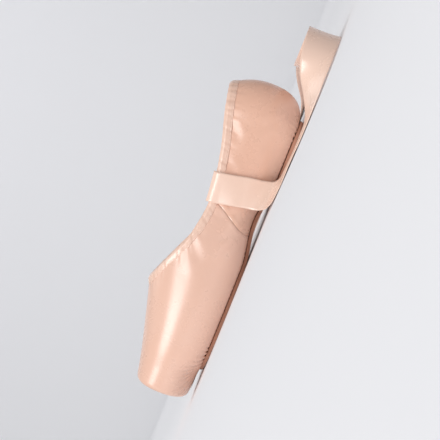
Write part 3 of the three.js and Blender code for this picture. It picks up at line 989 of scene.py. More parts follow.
@dataclass
class Binding:
    """The casing of bias satin that wraps the topline, drawn in by the string inside it.

    It reaches outer_width down the satin and inner_width down the lining. Shares are of a width,
    from the topline. How tight it is at the throat is an amount and a reach, and at the heel an
    amount, a station and a reach.
    """

    skin: Skin
    outer_width: float = 6.6
    inner_width: float = 5.6
    outer_steps: int = 14
    inner_steps: int = 8
    inner_fullness: float = 0.55
    thickness: float = 0.62
    cord_bulge: float = 0.5
    cord_depth: float = 2.1
    cord_width: float = 1.5
    stitch_share: float = 0.84
    groove_depth: float = 0.34
    groove_width: float = 0.07
    edge_drop: float = 0.85
    edge_share: float = 0.9
    sunk: float = 0.22
    rim_turns: tuple[float, ...] = (28, 60, 90, 120, 152)
    rim_fullness: float = 1.25
    rim_pucker: float = 0.12
    waves: Table = ((1.0, 1 / 0.74, 0.0), (0.8, 1 / 1.13, 0.9), (0.7, 1 / 1.71, 2.2), (0.4, 1 / 0.53, 1.1))
    wave_total: float = 2.2
    tight: float = 0.55
    tight_throat: Pair = (0.65, 20.0)
    tight_heel: Triple = (0.5, 12.0, 24.0)
    gather: float = 0.17
    gather_rises: Pair = (0.05, 0.3)
    gather_fades: Pair = (0.86, 0.14)
    wavy_outside: float = 0.035
    wavy_inside: float = 0.03
    # How dark the painted shade in the hollows of the gathers gets.
    valley: float = 0.45
    stitch_length: float = 2.1
    stitch_pitch: float = 3.1
    stitch_radius: float = 0.17
    stitch_proud: float = 0.4

    def pucker(self, around: Array) -> Array:
        """How the casing's gathers rise and fall round the topline, about -1 to 1."""
        return ripples(around, self.waves) / self.wave_total

    def pulled(self) -> Array:
        """The gathers' rise at each column, most at the throat and the heel."""
        most, width = self.tight_throat
        tightness = self.tight + humps(
            self.skin.station[:, -1], ((most, self.skin.throat, width), self.tight_heel)
        )
        return self.pucker(self.skin.round_length(-1)[:-1]) * tightness

    def section(self) -> Array:
        """The casing's net.

        Returns:
            A closed ring of points across it for each column.
        """
        skin, pucker = self.skin, self.pulled()
        outer, inner, ways = skin.points, skin.inner_points(), skin.normals
        flat = 0 * pucker
        rings = []
        for share in np.linspace(1, 0, self.outer_steps + 1):
            depth = share * self.outer_width * (1 + self.wavy_outside * pucker)
            rings.append(self.over(outer, ways, depth, self.height(share, pucker, 1.0)))
        rim_out, rim_in = outer[:, -1], inner[:, -1]
        middle, out = (rim_out + rim_in) / 2, ways[:, -1]
        up = unit(outer[:, -1] - outer[:, -3])
        half = np.linalg.norm(rim_out - rim_in, axis=1)[:, None] / 2
        rim = (self.thickness + self.rim_pucker * pucker)[:, None]
        for turn in np.radians(self.rim_turns):
            rise = up * rim * self.rim_fullness * math.sin(turn)
            rings.append(middle + out * (half + rim) * math.cos(turn) + rise)
        for share in np.linspace(0, 1, self.inner_steps + 1):
            depth = share * self.inner_width * (1 + self.wavy_inside * pucker)
            rings.append(self.over(inner, -ways, depth, self.height(share, pucker, self.inner_fullness)))
        low, high = 1 - self.edge_share, self.edge_share
        for share in (high, low):
            rings.append(self.over(inner, -ways, share * self.inner_width + flat, flat - self.sunk))
        for share in (low, high):
            rings.append(self.over(outer, ways, share * self.outer_width + flat, flat - self.sunk))
        return np.stack(rings + rings[:1], axis=1)

    def height(self, share: float, pucker: Array, fullness: float) -> Array:
        """How proud of the upper the casing stands.

        Args:
            share: the share of its width from the topline.
            pucker: the gathers' rise at each column.
            fullness: how much the cord, the groove and the gathers show.

        Returns:
            Its height over the upper at each column.
        """
        edge = 1 - smooth((share - self.edge_share) / (1 - self.edge_share)) * self.edge_drop
        groove = self.groove_depth * hump(share - self.stitch_share, self.groove_width)
        cord = self.cord_bulge * hump(share * self.outer_width - self.cord_depth, self.cord_width)
        (start, rises), (end, fades) = self.gather_rises, self.gather_fades
        gather = self.gather * smooth((share - start) / rises) * (1 - smooth((share - end) / fades))
        return self.thickness * edge + (cord - groove) * fullness + gather * pucker * fullness

    def over(self, net: Array, ways: Array, depth: Array, height: Array) -> Array:
        """Points at a depth below the topline and a height over a surface.

        Args:
            net: the surface's points.
            ways: its outward directions.
            depth: the distance below the topline, for each column.
            height: the height over the surface, for each column.

        Returns:
            A point for each column.
        """
        made = np.empty((len(net), 3))
        for i, (run, line, out) in enumerate(zip(run_along(net), net, ways)):
            at = run[-1] - depth[i]
            made[i] = read_along(at, run, line) + read_along(at, run, out) * height[i]
        return made

    def build(self, satin: Material) -> bpy.types.Object:
        """Makes the casing.

        Args:
            satin: its finish.

        Returns:
            The finished piece.
        """
        net = self.section()
        around = self.skin.round_length(-1)
        # Painted shade: the hollows of the casing's gathers are darkened through the fold mark.
        low = np.clip(-self.pucker(around[:-1]), 0, 1)[:, None] * self.valley
        marks = {"fold": np.broadcast_to(low, net.shape[:2])}
        form = Net(net, around=around, up=run_along(net).mean(axis=0), marks=marks, ring=True).bmesh()
        return piece("topline_binding", form, [satin], "satin")

    def build_stitches(self, thread: Material) -> bpy.types.Object:
        """Makes the row of stitches that holds the casing's lower edge.

        Args:
            thread: their finish.

        Returns:
            The finished piece.
        """
        skin, pucker = self.skin, self.pulled()
        depth = self.stitch_share * self.outer_width * (1 + self.wavy_outside * pucker)
        height = self.height(self.stitch_share, pucker, 1.0) + self.stitch_radius * self.stitch_proud
        line = self.over(skin.points, skin.normals, depth, height)
        ways = skin.normals[:, -4]
        form = stitched(line, ways, self.stitch_length, self.stitch_pitch, self.stitch_radius)
        return piece("binding_stitches", form, [thread], "satin")


@dataclass
class Outsole:
    """The slim leather outsole."""

    last: Last
    steps: int = 150
    across: int = 26
    drawn_in: float = 0.9
    rounding: float = 0.5
    rim_share: float = 0.8
    rim_power: int = 6

    def face(self, drawn_in: float, lift: float) -> Array:
        """One face's net, from tail to tip.

        Args:
            drawn_in: how far inside the outline it ends.
            lift: how far it lies over the tread.

        Returns:
            Its points.
        """
        last = self.last
        station = eased(last.sole_tail + drawn_in, last.sole_tip - drawn_in, self.steps)
        x = np.maximum(0, last.sole_half(station, drawn_in))[:, None] * shares_across(self.across)
        y, z = last.length / 2 - station, last.tread(station) + lift
        return np.stack(np.broadcast_arrays(x, y[:, None], z[:, None]), axis=2)

    def build(self, leather: Material) -> bpy.types.Object:
        """Makes the outsole.

        Args:
            leather: its finish.

        Returns:
            The finished piece.
        """
        tread, seat = self.face(self.drawn_in, 0.0), self.face(0.0, self.last.sole_thickness)
        edge = np.abs(np.linspace(-1, 1, self.across + 1))[None, :]
        ends = np.abs(np.linspace(-1, 1, self.steps + 1))[:, None] ** self.rim_power
        rim = np.maximum(smooth((edge - self.rim_share) / (1 - self.rim_share)), ends)
        form = Net(tread, marks={"rim": rim}).bmesh()
        # The raised face's mark, which darkens the top of the edge: partly glue, partly painted shade.
        height = form.verts.layers.float.new("height")
        for vert in raise_face(form, tread, seat):
            vert[height] = 1.0
        round_rims(form, self.rounding, segments=3)
        return piece("leather_outsole", form, [leather], "sole_leather", ("outsole",))


@dataclass
class Insole:
    """The sock inside, on the filler that closes the opening of the upper's margin."""

    last: Last
    thickness: float = 2.2
    clearance: float = 0.6
    edge_gap: float = 0.05
    waist_overlap: float = 0.3
    waist_reach: float = 32.0
    end_half: float = 3.0
    steps: int = 110
    across: int = 22
    crown: float = 0.5
    rounding: float = 0.8
    fine_steps: int = 944

    def floor(self, station: Array) -> Array:
        """The height of the insole's underside."""
        return self.last.under(station) + self.last.wall_edge + self.clearance

    def half(self, station: Array) -> Array:
        """Half the insole's width at each station."""
        up = self.floor(station) + self.thickness - self.last.under(station)
        wall = self.last.wall(station, up, np.ones(len(station))) + self.edge_gap
        wall -= self.waist_overlap * hump(station - self.last.arch_middle, self.waist_reach)
        return self.last.half_left(station, self.floor(station), wall)

    def build(self, canvas: Material) -> bpy.types.Object:
        """Makes the insole.

        Args:
            canvas: its finish.

        Returns:
            The finished piece.
        """
        fine = np.linspace(0, self.last.length, self.fine_steps + 1)
        wide = fine[self.half(fine) > self.end_half]
        station = eased(wide[0], wide[-1], self.steps)
        share = shares_across(self.across)
        x = self.half(station)[:, None] * share
        y = np.broadcast_to((self.last.length / 2 - station)[:, None], x.shape)
        low = np.broadcast_to(self.floor(station)[:, None], x.shape)
        under = np.stack([x, y, low], axis=2)
        top = np.stack([x, y, low + self.thickness - self.crown * share**2], axis=2)
        form = Net(under, around=-y[:, 0], up=x[self.steps // 2]).bmesh()
        raise_face(form, under, top)
        round_rims(form, self.rounding, segments=2)
        return piece("insole_sock", form, [canvas], "insole_canvas", ("insole",))


@dataclass
class Ribbon:
    """A satin ribbon, sewn inside a quarter and loose from there.

    Each row of its route is a place on it: the middle's x and y, the height of the lower edge, and
    the lean in degrees, from flat at 0 to nearly on its edge at 90. A place is counted in rows.
    """

    name: str
    node: str
    length: float
    route: Table
    width: float = 22.0
    thickness: float = 0.42
    selvage: float = 0.16
    selvage_at: Pair = (0.9, 0.06)
    splay: float = 4.0
    softness: float = 7.0
    loose_from: float = 42.0
    loose_over: float = 36.0
    wave: float = 0.28
    wave_length: float = 8.5
    wave_lag: float = 21.0
    wave_skew: float = 0.4
    cup: float = 0.55
    twist: float = 0.25
    twist_length: float = 13.0
    floor_gap: float = 0.06
    steps: int = 420
    across: int = 16
    path_steps: int = 160
    sewn_rows: float = 1.2
    sewn_from: float = 0.12
    stitch_inset: float = 1.6
    stitch_proud: float = 0.1
    stitch: Triple = (1.7, 2.5, 0.16)

    NEAR = 0.02

    def place(self, where: Array) -> Array:
        """The middle at places on the route.

        Args:
            where: the places.

        Returns:
            Points in millimetres.
        """
        plan = np.array(self.route, float)[:, :2]
        padded = np.concatenate([2 * plan[:1] - plan[1:2], plan, 2 * plan[-1:] - plan[-2:-1]])
        i = np.clip(np.floor(where).astype(int), 0, len(plan) - 2)
        w = (where - i)[:, None]
        before, start, end, after = (padded[i + k] for k in range(4))
        leave, arrive = (end - before) / 2, (after - start) / 2
        square = -3 * start + 3 * end - 2 * leave - arrive
        cube = 2 * start - 2 * end + leave + arrive
        flat = start + leave * w + square * w**2 + cube * w**3
        height = self.low(where) + self.width / 2 * np.abs(np.sin(self.lean(where)))
        return np.concatenate([flat, height[:, None]], axis=1)

    def low(self, where: Array) -> Array:
        """The height of the lower edge at places on the route."""
        return Curve(range(len(self.route)), [row[2] for row in self.route])(where)

    def lean(self, where: Array) -> Array:
        """The lean in radians at places on the route."""
        return np.radians(Curve(range(len(self.route)), [row[3] for row in self.route])(where))

    def axes(self, where: Array) -> tuple[Array, Array, Array]:
        """The ribbon's directions.

        Args:
            where: places on the route.

        Returns:
            The directions along, across and out of it there.
        """
        ahead = np.minimum(len(self.route) - 1, where + self.NEAR)
        along = unit(self.place(ahead) - self.place(np.maximum(0, where - self.NEAR)))
        level = smooth(np.hypot(along[:, 0], along[:, 1]))[:, None]
        splay = math.radians(self.splay)
        outwards = np.array([math.copysign(math.cos(splay), self.route[0][0]), math.sin(splay)])
        plan = along[:, :2] * level + outwards * (1 - level)
        across = np.stack([-plan[:, 1], plan[:, 0], np.zeros(len(plan))], axis=1)
        across = unit(across - along * np.sum(across * along, axis=1, keepdims=True))
        lean = self.lean(where)[:, None]
        across = across * np.cos(lean) + np.cross(along, across) * np.sin(lean)
        return along, across, np.cross(along, across)

    def softened(self, across: Array, along: Array, run: Array) -> Array:
        """Evens out how the ribbon's width turns, so that neither edge kinks.

        Args:
            across: the direction of its width at each step.
            along: the direction that it runs.
            run: the distance along it.

        Returns:
            The width's direction at each step, softened.
        """
        share = hump(run[:, None] - run[None, :], self.softness)
        even = (share[:, :, None] * across[None, :, :]).sum(axis=1)
        return unit(even - along * np.sum(even * along, axis=1, keepdims=True))

    def net(self) -> tuple[Array, Array, Array]:
        """The ribbon's net.

        Returns:
            Its points, with a closed ring across it for each step, the distance along it at each
            step, and the distance across it round each ring.
        """
        where = np.linspace(0, len(self.route) - 1, self.steps + 1)
        middle = self.place(where)
        along, across, _ = self.axes(where)
        run = run_along(middle)
        across = self.softened(across, along, run)
        face = np.cross(along, across)[:, None, :]
        share = np.linspace(-1, 1, self.across + 1)
        column = run[:, None]
        loose = smooth((column - self.loose_from) / self.loose_over)
        wave = self.wave * (1 - np.cos(column / self.wave_length)) * loose
        twist = self.twist * share * np.sin(column / self.twist_length) ** 2
        cup = (self.cup * share**2 + twist) * loose
        skewed = mix(1, np.cos(share * 2 + column / self.wave_lag), self.wave_skew)
        lift = wave * skewed + np.maximum(cup, 0)
        starts, over = self.selvage_at
        half = (self.thickness + self.selvage * smooth((np.abs(share) - starts) / over)) / 2
        spread = middle[:, None, :] + across[:, None, :] * share[:, None] * self.width / 2
        top, bottom = (spread + face * (lift + side * half)[:, :, None] for side in (1, -1))
        ring = np.concatenate([top[:, ::-1], bottom, top[:, -1:]], axis=1)
        ring[:, :, 2] = np.maximum(ring[:, :, 2], self.floor_gap)
        width = np.concatenate([share[::-1], share, share[-1:]]) * self.width / 2
        return ring, run, width

    def build(self, satin: Material) -> bpy.types.Object:
        """Args:
            satin: its finish.

        Returns:
            The finished piece.
        """
        ring, run, width = self.net()
        form = Net(ring, around=run, up=width).bmesh()
        bmesh.ops.holes_fill(form, edges=[edge for edge in form.edges if edge.is_boundary], sides=0)
        made = piece(self.name, form, [satin], "ribbon_satin", (self.node,))
        line = self.place(np.linspace(0, len(self.route) - 1, self.path_steps)) * MM
        start = self.place(np.array([self.sewn_rows]))[0] * MM
        return made

    def build_stitches(self, thread: Material) -> bpy.types.Object:
        """Makes the box of stitches that holds the ribbon's end to the quarter.

        Args:
            thread: their finish.

        Returns:
            The finished piece.
        """
        where = np.array([self.sewn_from, self.sewn_rows])
        middle = self.place(where)
        _, across, face = self.axes(where)
        reach = across * (self.width / 2 - self.stitch_inset)
        inwards = face * -math.copysign(1, float(face[0, 0] * self.route[0][0]))
        corners = middle[[0, 0, 1, 1]] + reach[[0, 0, 1, 1]] * np.array([[-1], [1], [1], [-1]])
        lifted = corners + inwards[[0, 0, 1, 1]] * (self.thickness / 2 + self.stitch_proud)
        steps = np.linspace(0, 1, 12)[:-1]
        line = np.array([mix(lifted[k], lifted[(k + 1) % 4], t) for k in range(4) for t in steps])
        form = stitched(line, np.repeat(inwards[:1], len(line), axis=0), *self.stitch)
        return piece(f"{self.name}_stitches", form, [thread], "ribbon_satin")


OVER_TOPLINE = (
    (27.2, 37.0, 21, 0), (27.0, 35.6, 31, 2), (25.6, 34.5, 38.5, 6),
    (25.2, 34.1, 41.5, 8), (27.9, 34.0, 43.7, 8), (30.0, 34.2, 41.3, 8),
)
INNER_ROUTE = (
    *OVER_TOPLINE,
    (31.0, 35.2, 36, 5), (32.0, 36.8, 29, 2),
    (33.0, 39, 20, 0), (34.8, 41, 9.5, 0), (40, 44.5, 2.6, 0), (50, 51, 0.5, 0),
    (70, 67, 0.4, 0), (90, 88, 0.4, 0), (103, 112, 0.5, 22), (104, 136, 0.5, 58),
    (90, 153, 0.4, 80), (68, 159, 0.4, 86), (46, 153, 0.4, 86), (26, 143, 0.4, 86),
    (4, 137, 0.4, 84), (-19, 139, 0.4, 84), (-42, 145, 0.4, 80), (-65, 146, 0.4, 66),
    (-87, 138, 0.5, 36), (-107, 124, 0.5, 8), (-124, 107, 0.4, 0), (-139, 88, 0.4, 0),
)
OUTER_ROUTE = (
    *((-x, y, low, -lean) for x, y, low, lean in OVER_TOPLINE),
    (-31.0, 34.8, 36, -5), (-32.0, 35.6, 29, -2),
    (-33.0, 36.6, 20, 0), (-34.8, 37.6, 9.5, 0), (-40, 39.4, 2.6, 0), (-51, 43, 0.5, 0),
    (-76, 50, 0.4, 0), (-104, 55, 0.5, 16), (-130, 51, 0.5, 52), (-148, 34, 0.4, 78),
    (-148, 11, 0.4, 86), (-132, -7, 0.4, 86), (-108, -16, 0.4, 84), (-84, -27, 0.4, 84),
    (-69, -47, 0.4, 86), (-69, -71, 0.4, 86), (-85, -89, 0.4, 80), (-109, -96, 0.5, 60),
    (-132, -103, 0.5, 28), (-148, -119, 0.4, 4), (-153, -142, 0.4, 0),
)


class Effect(Enum):
    """The shader effects that several finishes share."""

    THREADS = "cloth_threads"
    WEAVE = "plain_weave"
    TONE = "uneven_tone"
    SCUFF = "scuffs"


class NodePad:
    """Places nodes in one shader tree and joins them."""

    def __init__(self, tree: bpy.types.NodeTree) -> None:
        """Starts on a tree, which it empties."""
        self.tree = tree
        tree.nodes.clear()

    def plug(self, value: object, socket: Socket) -> None:
        """Joins another node's output to an input, or sets the input to a plain value."""
        if isinstance(value, Socket):
            self.tree.links.new(value, socket)
        else:
            socket.default_value = value

    def add(
        self, kind: str, sockets: dict[str | int, object] | None = None, **settings: object
    ) -> bpy.types.Node:
        """Adds a node.

        Args:
            kind: the node's type, without its ShaderNode prefix.
            sockets: values or other nodes' outputs for its inputs, by name or number.
            **settings: the node's own properties.

        Returns:
            The node.
        """
        prefix = "" if kind.startswith("NodeGroup") else "ShaderNode"
        node = self.tree.nodes.new(prefix + kind)
        for name, value in settings.items():
            setattr(node, name, value)
        for name, value in (sockets or {}).items():
            self.plug(value, node.inputs[name])
        return node

    def maths(self, operation: str, *values: object) -> Socket:
        """A sum on values or outputs, and the output that holds its result."""
        return self.add("Math", dict(enumerate(values)), operation=operation).outputs[0]

    def times(self, a: object, b: object) -> Socket:
        """One value times another."""
        return self.maths("MULTIPLY", a, b)

    def stretched(self, vector: object, by: Triple) -> Socket:
        """A vector with each part multiplied."""
        return self.add("VectorMath", {0: vector, 1: by}, operation="MULTIPLY").outputs[0]

    def noise(self, vector: object, scale: object, detail: float, roughness: float = 0.5) -> Socket:
        """Noise's value at a vector."""
        sockets = {"Vector": vector, "Scale": scale, "Detail": detail, "Roughness": roughness}
        return self.add("TexNoise", sockets).outputs[0]

    def ramp(self, value: object, low: float, high: float) -> Socket:
        """A value eased from 0 at low to 1 at high."""
        sockets = {"Value": value, "From Min": low, "From Max": high}
        return self.add("MapRange", sockets, interpolation_type="SMOOTHSTEP").outputs[0]

    def blend(self, share: object, a: object, b: object) -> Socket:
        """The colour that share of the way from a to b gives."""
        return self.add("Mix", {0: share, 6: a, 7: b}, data_type="RGBA").outputs[2]

    def effect(self, effect: Effect, **sockets: object) -> Socket:
        """Places one shared effect with its own values, and gives its output."""
        named = {name.capitalize(): value for name, value in sockets.items()}
        return self.add("Group", named, node_tree=bpy.data.node_groups[effect.value]).outputs[0]


class SharedEffects:
    """Builds the shared effects, each once."""

    def build_all(self) -> None:
        """Builds every effect that the finishes place."""
        self.threads()
        self.weave()
        self.tone()
        self.scuff()

    @staticmethod
    def start(effect: Effect, **inputs: float) -> tuple[NodePad, dict[str, Socket]]:
        """Opens a group with a vector and the other inputs.

        Args:
            effect: which effect it is.
            **inputs: its other inputs, each with a starting value.

        Returns:
            The pad to build on, and what the group is given, by name.
        """
        tree = bpy.data.node_groups.new(effect.value, "ShaderNodeTree")
        tree.interface.new_socket("Vector", in_out="INPUT", socket_type="NodeSocketVector")
        for name, value in inputs.items():
            socket = tree.interface.new_socket(name, in_out="INPUT", socket_type="NodeSocketFloat")
            socket.default_value = value
        tree.interface.new_socket("Value", in_out="OUTPUT", socket_type="NodeSocketFloat")
        pad = NodePad(tree)
        given = pad.add("NodeGroupInput").outputs
        return pad, {name: given[name] for name in ("Vector", *inputs)}

    @staticmethod
    def close(pad: NodePad, value: Socket) -> None:
        """Makes a value the group's output."""
        pad.plug(value, pad.add("NodeGroupOutput").inputs[0])

    def threads(self) -> None:
        """Long parallel threads, as on satin, a little uneven from one to the next."""
        pad, given = self.start(Effect.THREADS, Pitch=0.0004, Uneven=0.5)
        across = pad.add("SeparateXYZ", {0: given["Vector"]}).outputs[1]
        noise = pad.noise(pad.stretched(given["Vector"], (60.0, 2200.0, 60.0)), 1.0, 2.0)
        turns = pad.maths("DIVIDE", across, given["Pitch"])
        rib = pad.maths("MULTIPLY_ADD", pad.maths("SINE", pad.times(turns, 2 * math.pi)), 0.5, 0.5)
        self.close(pad, pad.maths("MULTIPLY_ADD", rib, 0.5, pad.times(noise, given["Uneven"])))

    def weave(self) -> None:
        """A plain over-and-under weave, as on canvas."""
        pad, given = self.start(Effect.WEAVE, Pitch=0.0006)
        parts = pad.add("SeparateXYZ", {0: given["Vector"]}).outputs
        turns = [pad.maths("DIVIDE", parts[axis], given["Pitch"]) for axis in (0, 1)]
        waves = [pad.maths("SINE", pad.times(turn, math.pi)) for turn in turns]
        self.close(pad, pad.maths("MULTIPLY_ADD", pad.times(*waves), 0.5, 0.5))

    def tone(self) -> None:
        """Soft blotches of two sizes."""
        pad, given = self.start(Effect.TONE, Size=0.02)
        scale = pad.maths("DIVIDE", 1.0, given["Size"])
        broad = pad.noise(given["Vector"], scale, 3.0)
        fine = pad.noise(given["Vector"], pad.times(scale, 5.3), 2.0)
        both = pad.maths("MULTIPLY_ADD", fine, 0.35, pad.times(broad, 0.65))
        self.close(pad, pad.ramp(both, 0.36, 0.64))

    def scuff(self) -> None:
        """Short scratches and rubbed spots, only where the mask lets them."""
        pad, given = self.start(Effect.SCUFF, Mask=1.0, Size=0.004, Amount=0.5)
        scale = pad.maths("DIVIDE", 1.0, given["Size"])
        noise = pad.noise(pad.stretched(given["Vector"], (1.0, 0.28, 1.0)), scale, 5.0, 0.65)
        cut = pad.maths("SUBTRACT", 0.78, pad.times(given["Amount"], 0.4))
        spots = pad.times(pad.maths("SUBTRACT", noise, cut), 9.0)
        self.close(pad, pad.times(pad.add("Clamp", {0: spots}).outputs[0], given["Mask"]))


class Paint(NodePad):
    """A material in the making, with the piece's own coordinates at hand."""

    def __init__(self, name: str) -> None:
        """Starts the material.

        Args:
            name: its name.
        """
        self.made = bpy.data.materials.new(name)
        self.made.use_nodes = True
        super().__init__(self.made.node_tree)
        where = self.add("TexCoord").outputs
        self.solid, self.cloth = where["Object"], where["UV"]

    def mark(self, name: str) -> Socket:
        """The piece's own mark of that name."""
        return self.add("Attribute", attribute_name=name).outputs["Fac"]

    def bump(self, height: object, strength: float, distance: float, **over: object) -> Socket:
        """The surface's direction once a height is pressed into it."""
        sockets = {"Height": height, "Strength": strength, "Distance": distance, **over}
        return self.add("Bump", sockets).outputs[0]

    def close(self, sockets: dict[str, object]) -> Material:
        """Puts the surface's own shader at the end and gives the material."""
        shader = self.add("BsdfPrincipled", sockets)
        self.plug(shader.outputs[0], self.add("OutputMaterial").inputs[0])
        return self.made


def tint(red: int, green: int, blue: int) -> Colour:
    """A colour as the shader takes it, from its everyday 0 to 255 parts."""
    parts = [c / 255 for c in (red, green, blue)]
    linear = [c / 12.92 if c <= 0.04045 else ((c + 0.055) / 1.055) ** 2.4 for c in parts]
    return (*linear, 1.0)


@dataclass(frozen=True)
class SatinFinish:
    """Peach-pink satin: its colour, a darker colour for painted shade in its folds and for its seams, a
    dark line at the sole's edge that is partly glue and partly painted shade, and its colour when worn.
    """

    name: str
    colour: Colour
    deeper: Colour
    quarter: Colour
    # Painted shade for the folds, also the darker colour along the seams.
    folds: Colour = tint(196, 148, 122)
    # The line at the sole's edge: partly glue, partly painted shade in the gap.
    sole_line: Colour = tint(150, 96, 72)
    worn: Colour = tint(206, 168, 146)
    bloom: Colour = tint(255, 236, 222)
    uneven: float = 0.20
    fold_shading: float = 0.62
    seamed: float = 0.45
    rubbed: float = 0.35
    roughness: float = 0.28
    sheen: float = 0.04
    thread_pitch: float = 0.00026
    relief: float = 0.000022
    seam_relief: float = 0.0003

    def material(self) -> Material:
        """Builds the satin.

        Returns:
            The material, which reads the marks on the piece that wears it.
        """
        pad = Paint(self.name)
        seam, zero = pad.mark("seam"), Upper.SEAM_ZERO
        tone = pad.effect(Effect.TONE, vector=pad.solid, size=0.022)
        uneven = pad.times(tone, self.uneven)
        front, back = (pad.blend(uneven, colour, self.deeper) for colour in (self.colour, self.quarter))
        cloth = pad.blend(pad.ramp(seam, zero + 0.1, zero - 0.3), front, back)
        # Painted shade: darker in the folds' valleys, by the fold mark.
        cloth = pad.blend(pad.times(pad.mark("fold"), self.fold_shading), cloth, self.folds)
        from_seam = pad.maths("ABSOLUTE", pad.maths("SUBTRACT", seam, zero))
        near_seam = pad.maths("MAXIMUM", pad.ramp(from_seam, 0.75, 0.1), pad.mark("back_seam"))
        cloth = pad.blend(pad.times(near_seam, self.seamed), cloth, self.folds)
        scuffs = pad.effect(Effect.SCUFF, vector=pad.solid, mask=pad.mark("wear"), size=0.0035, amount=0.5)
        cloth = pad.blend(pad.times(scuffs, self.rubbed), cloth, self.worn)
        # Partly a glue line, partly painted shade in the gap at the sole's edge.
        cloth = pad.blend(pad.ramp(pad.mark("sole_line"), 0.35, 0.95), cloth, self.sole_line)
        rough = pad.maths("MULTIPLY_ADD", tone, 0.04, self.roughness - 0.02)
        threads = pad.effect(Effect.THREADS, vector=pad.cloth, pitch=self.thread_pitch, uneven=0.4)
        groove = pad.bump(pad.ramp(from_seam, 0.0, 0.9), 0.8, self.seam_relief)
        return pad.close(
            {
                "Base Color": cloth,
                "Roughness": pad.maths("MULTIPLY_ADD", scuffs, 0.25, rough),
                "Normal": pad.bump(threads, 0.14, self.relief, Normal=groove),
                "Sheen Weight": self.sheen,
                "Sheen Roughness": 0.35,
                "Sheen Tint": self.bloom,
                "Specular IOR Level": 1.0,
                "IOR": 1.5,
            }
        )


@dataclass(frozen=True)
class LeatherFinish:
    """Split leather, flesh side out, with a burnished dark edge that is darker still along its top: partly
    glue, partly painted shade in the gap under the upper.
    """

    name: str = "sole_leather"
    colour: Colour = tint(222, 168, 142)
    deeper: Colour = tint(202, 146, 120)
    edge: Colour = tint(158, 102, 76)
    dirt: Colour = tint(172, 132, 112)
    uneven: float = 0.6
    napped: float = 0.22
    soiled: float = 0.45
    darkened: float = 0.25
    roughness: float = 0.78
    relief: float = 0.00018

    def material(self) -> Material:
        """Builds the leather.

        Returns:
            The material, which reads the piece's rim and height marks.
        """
        pad = Paint(self.name)
        rim = pad.mark("rim")
        tone = pad.effect(Effect.TONE, vector=pad.solid, size=0.012)
        hide = pad.blend(pad.times(tone, self.uneven), self.colour, self.deeper)
        grain = pad.noise(pad.solid, 900.0, 4.0)
        hide = pad.blend(pad.times(pad.ramp(grain, 0.42, 0.62), self.napped), hide, self.deeper)
        open_face = pad.maths("SUBTRACT", 1.0, rim)
        scuffs = pad.effect(Effect.SCUFF, vector=pad.solid, mask=open_face, size=0.006, amount=0.6)
        hide = pad.blend(pad.times(scuffs, self.soiled), hide, self.dirt)
        hide = pad.blend(pad.times(pad.ramp(rim, 0.55, 1.0), self.darkened), hide, self.edge)
        # Partly a glue line, partly painted shade in the gap under the upper.
        hide = pad.blend(pad.ramp(pad.mark("height"), 0.72, 0.95), hide, self.edge)
        nap = pad.bump(grain, 0.6, self.relief)
        return pad.close(
            {"Base Color": hide, "Roughness": self.roughness, "Normal": nap, "Sheen Weight": 0.15}
        )


@dataclass(frozen=True)
class CanvasFinish:
    """Plain woven cotton: the lining, the sock or a thread."""

    name: str
    colour: Colour
    deeper: Colour
    pitch: float = 0.0007
    relief: float = 0.00012
    uneven: float = 0.5
    hollows: float = 0.3
    roughness: float = 0.88

    def material(self) -> Material:
        """Builds the cotton.

        Returns:
            The material, which reads the piece's UV map.
        """
        pad = Paint(self.name)
        tone = pad.effect(Effect.TONE, vector=pad.solid, size=0.015)
        weave = pad.effect(Effect.WEAVE, vector=pad.cloth, pitch=self.pitch)
        cloth = pad.blend(pad.times(tone, self.uneven), self.colour, self.deeper)
        cloth = pad.blend(pad.times(pad.ramp(weave, 0.6, 0.2), self.hollows), cloth, self.deeper)
        woven = pad.bump(weave, 0.7, self.relief)
        return pad.close(
            {"Base Color": cloth, "Roughness": self.roughness, "Normal": woven, "Sheen Weight": 0.2}
        )


class ShoeFinish(Enum):
    """Every finish on the shoe."""

    SATIN = SatinFinish("peach_satin", tint(237, 194, 173), tint(231, 182, 156), tint(237, 190, 166))
    BINDING = SatinFinish(
        "binding_satin", tint(243, 206, 186), tint(234, 192, 170), tint(243, 206, 186), thread_pitch=0.0006
    )
    RIBBON = SatinFinish(
        "ribbon_satin",
        tint(246, 212, 193),
        tint(238, 200, 180),
        tint(246, 212, 193),
        roughness=0.27,
        thread_pitch=0.0005,
    )
    LEATHER = LeatherFinish()
    LINING = CanvasFinish("lining_cotton", tint(236, 214, 196), tint(214, 188, 168))
    SOCK = CanvasFinish("sock_canvas", tint(238, 226, 208), tint(216, 200, 180), pitch=0.0009)
    THREAD = CanvasFinish(
        "sewing_thread", tint(240, 204, 184), tint(222, 180, 158), pitch=0.0003, roughness=0.55
    )


@dataclass(frozen=True)
class Lamp:
    """One soft light: where it hangs, its width and height, its watts and what it faces."""

    name: str
    place: Triple
    size: Pair
    power: float
    faces: Triple = (0.0, 0.012, 0.030)

    def hang(self) -> None:
        """Hangs it."""
        lamp = bpy.data.lights.new(self.name, "AREA")
        lamp.shape = "RECTANGLE"
        lamp.size, lamp.size_y = self.size
        lamp.energy = self.power
        hung = bpy.data.objects.new(self.name, lamp)
        hung.location = self.place
        hung.rotation_euler = (Vector(self.faces) - Vector(self.place)).to_track_quat("-Z", "Y").to_euler()
        bpy.context.scene.collection.objects.link(hung)


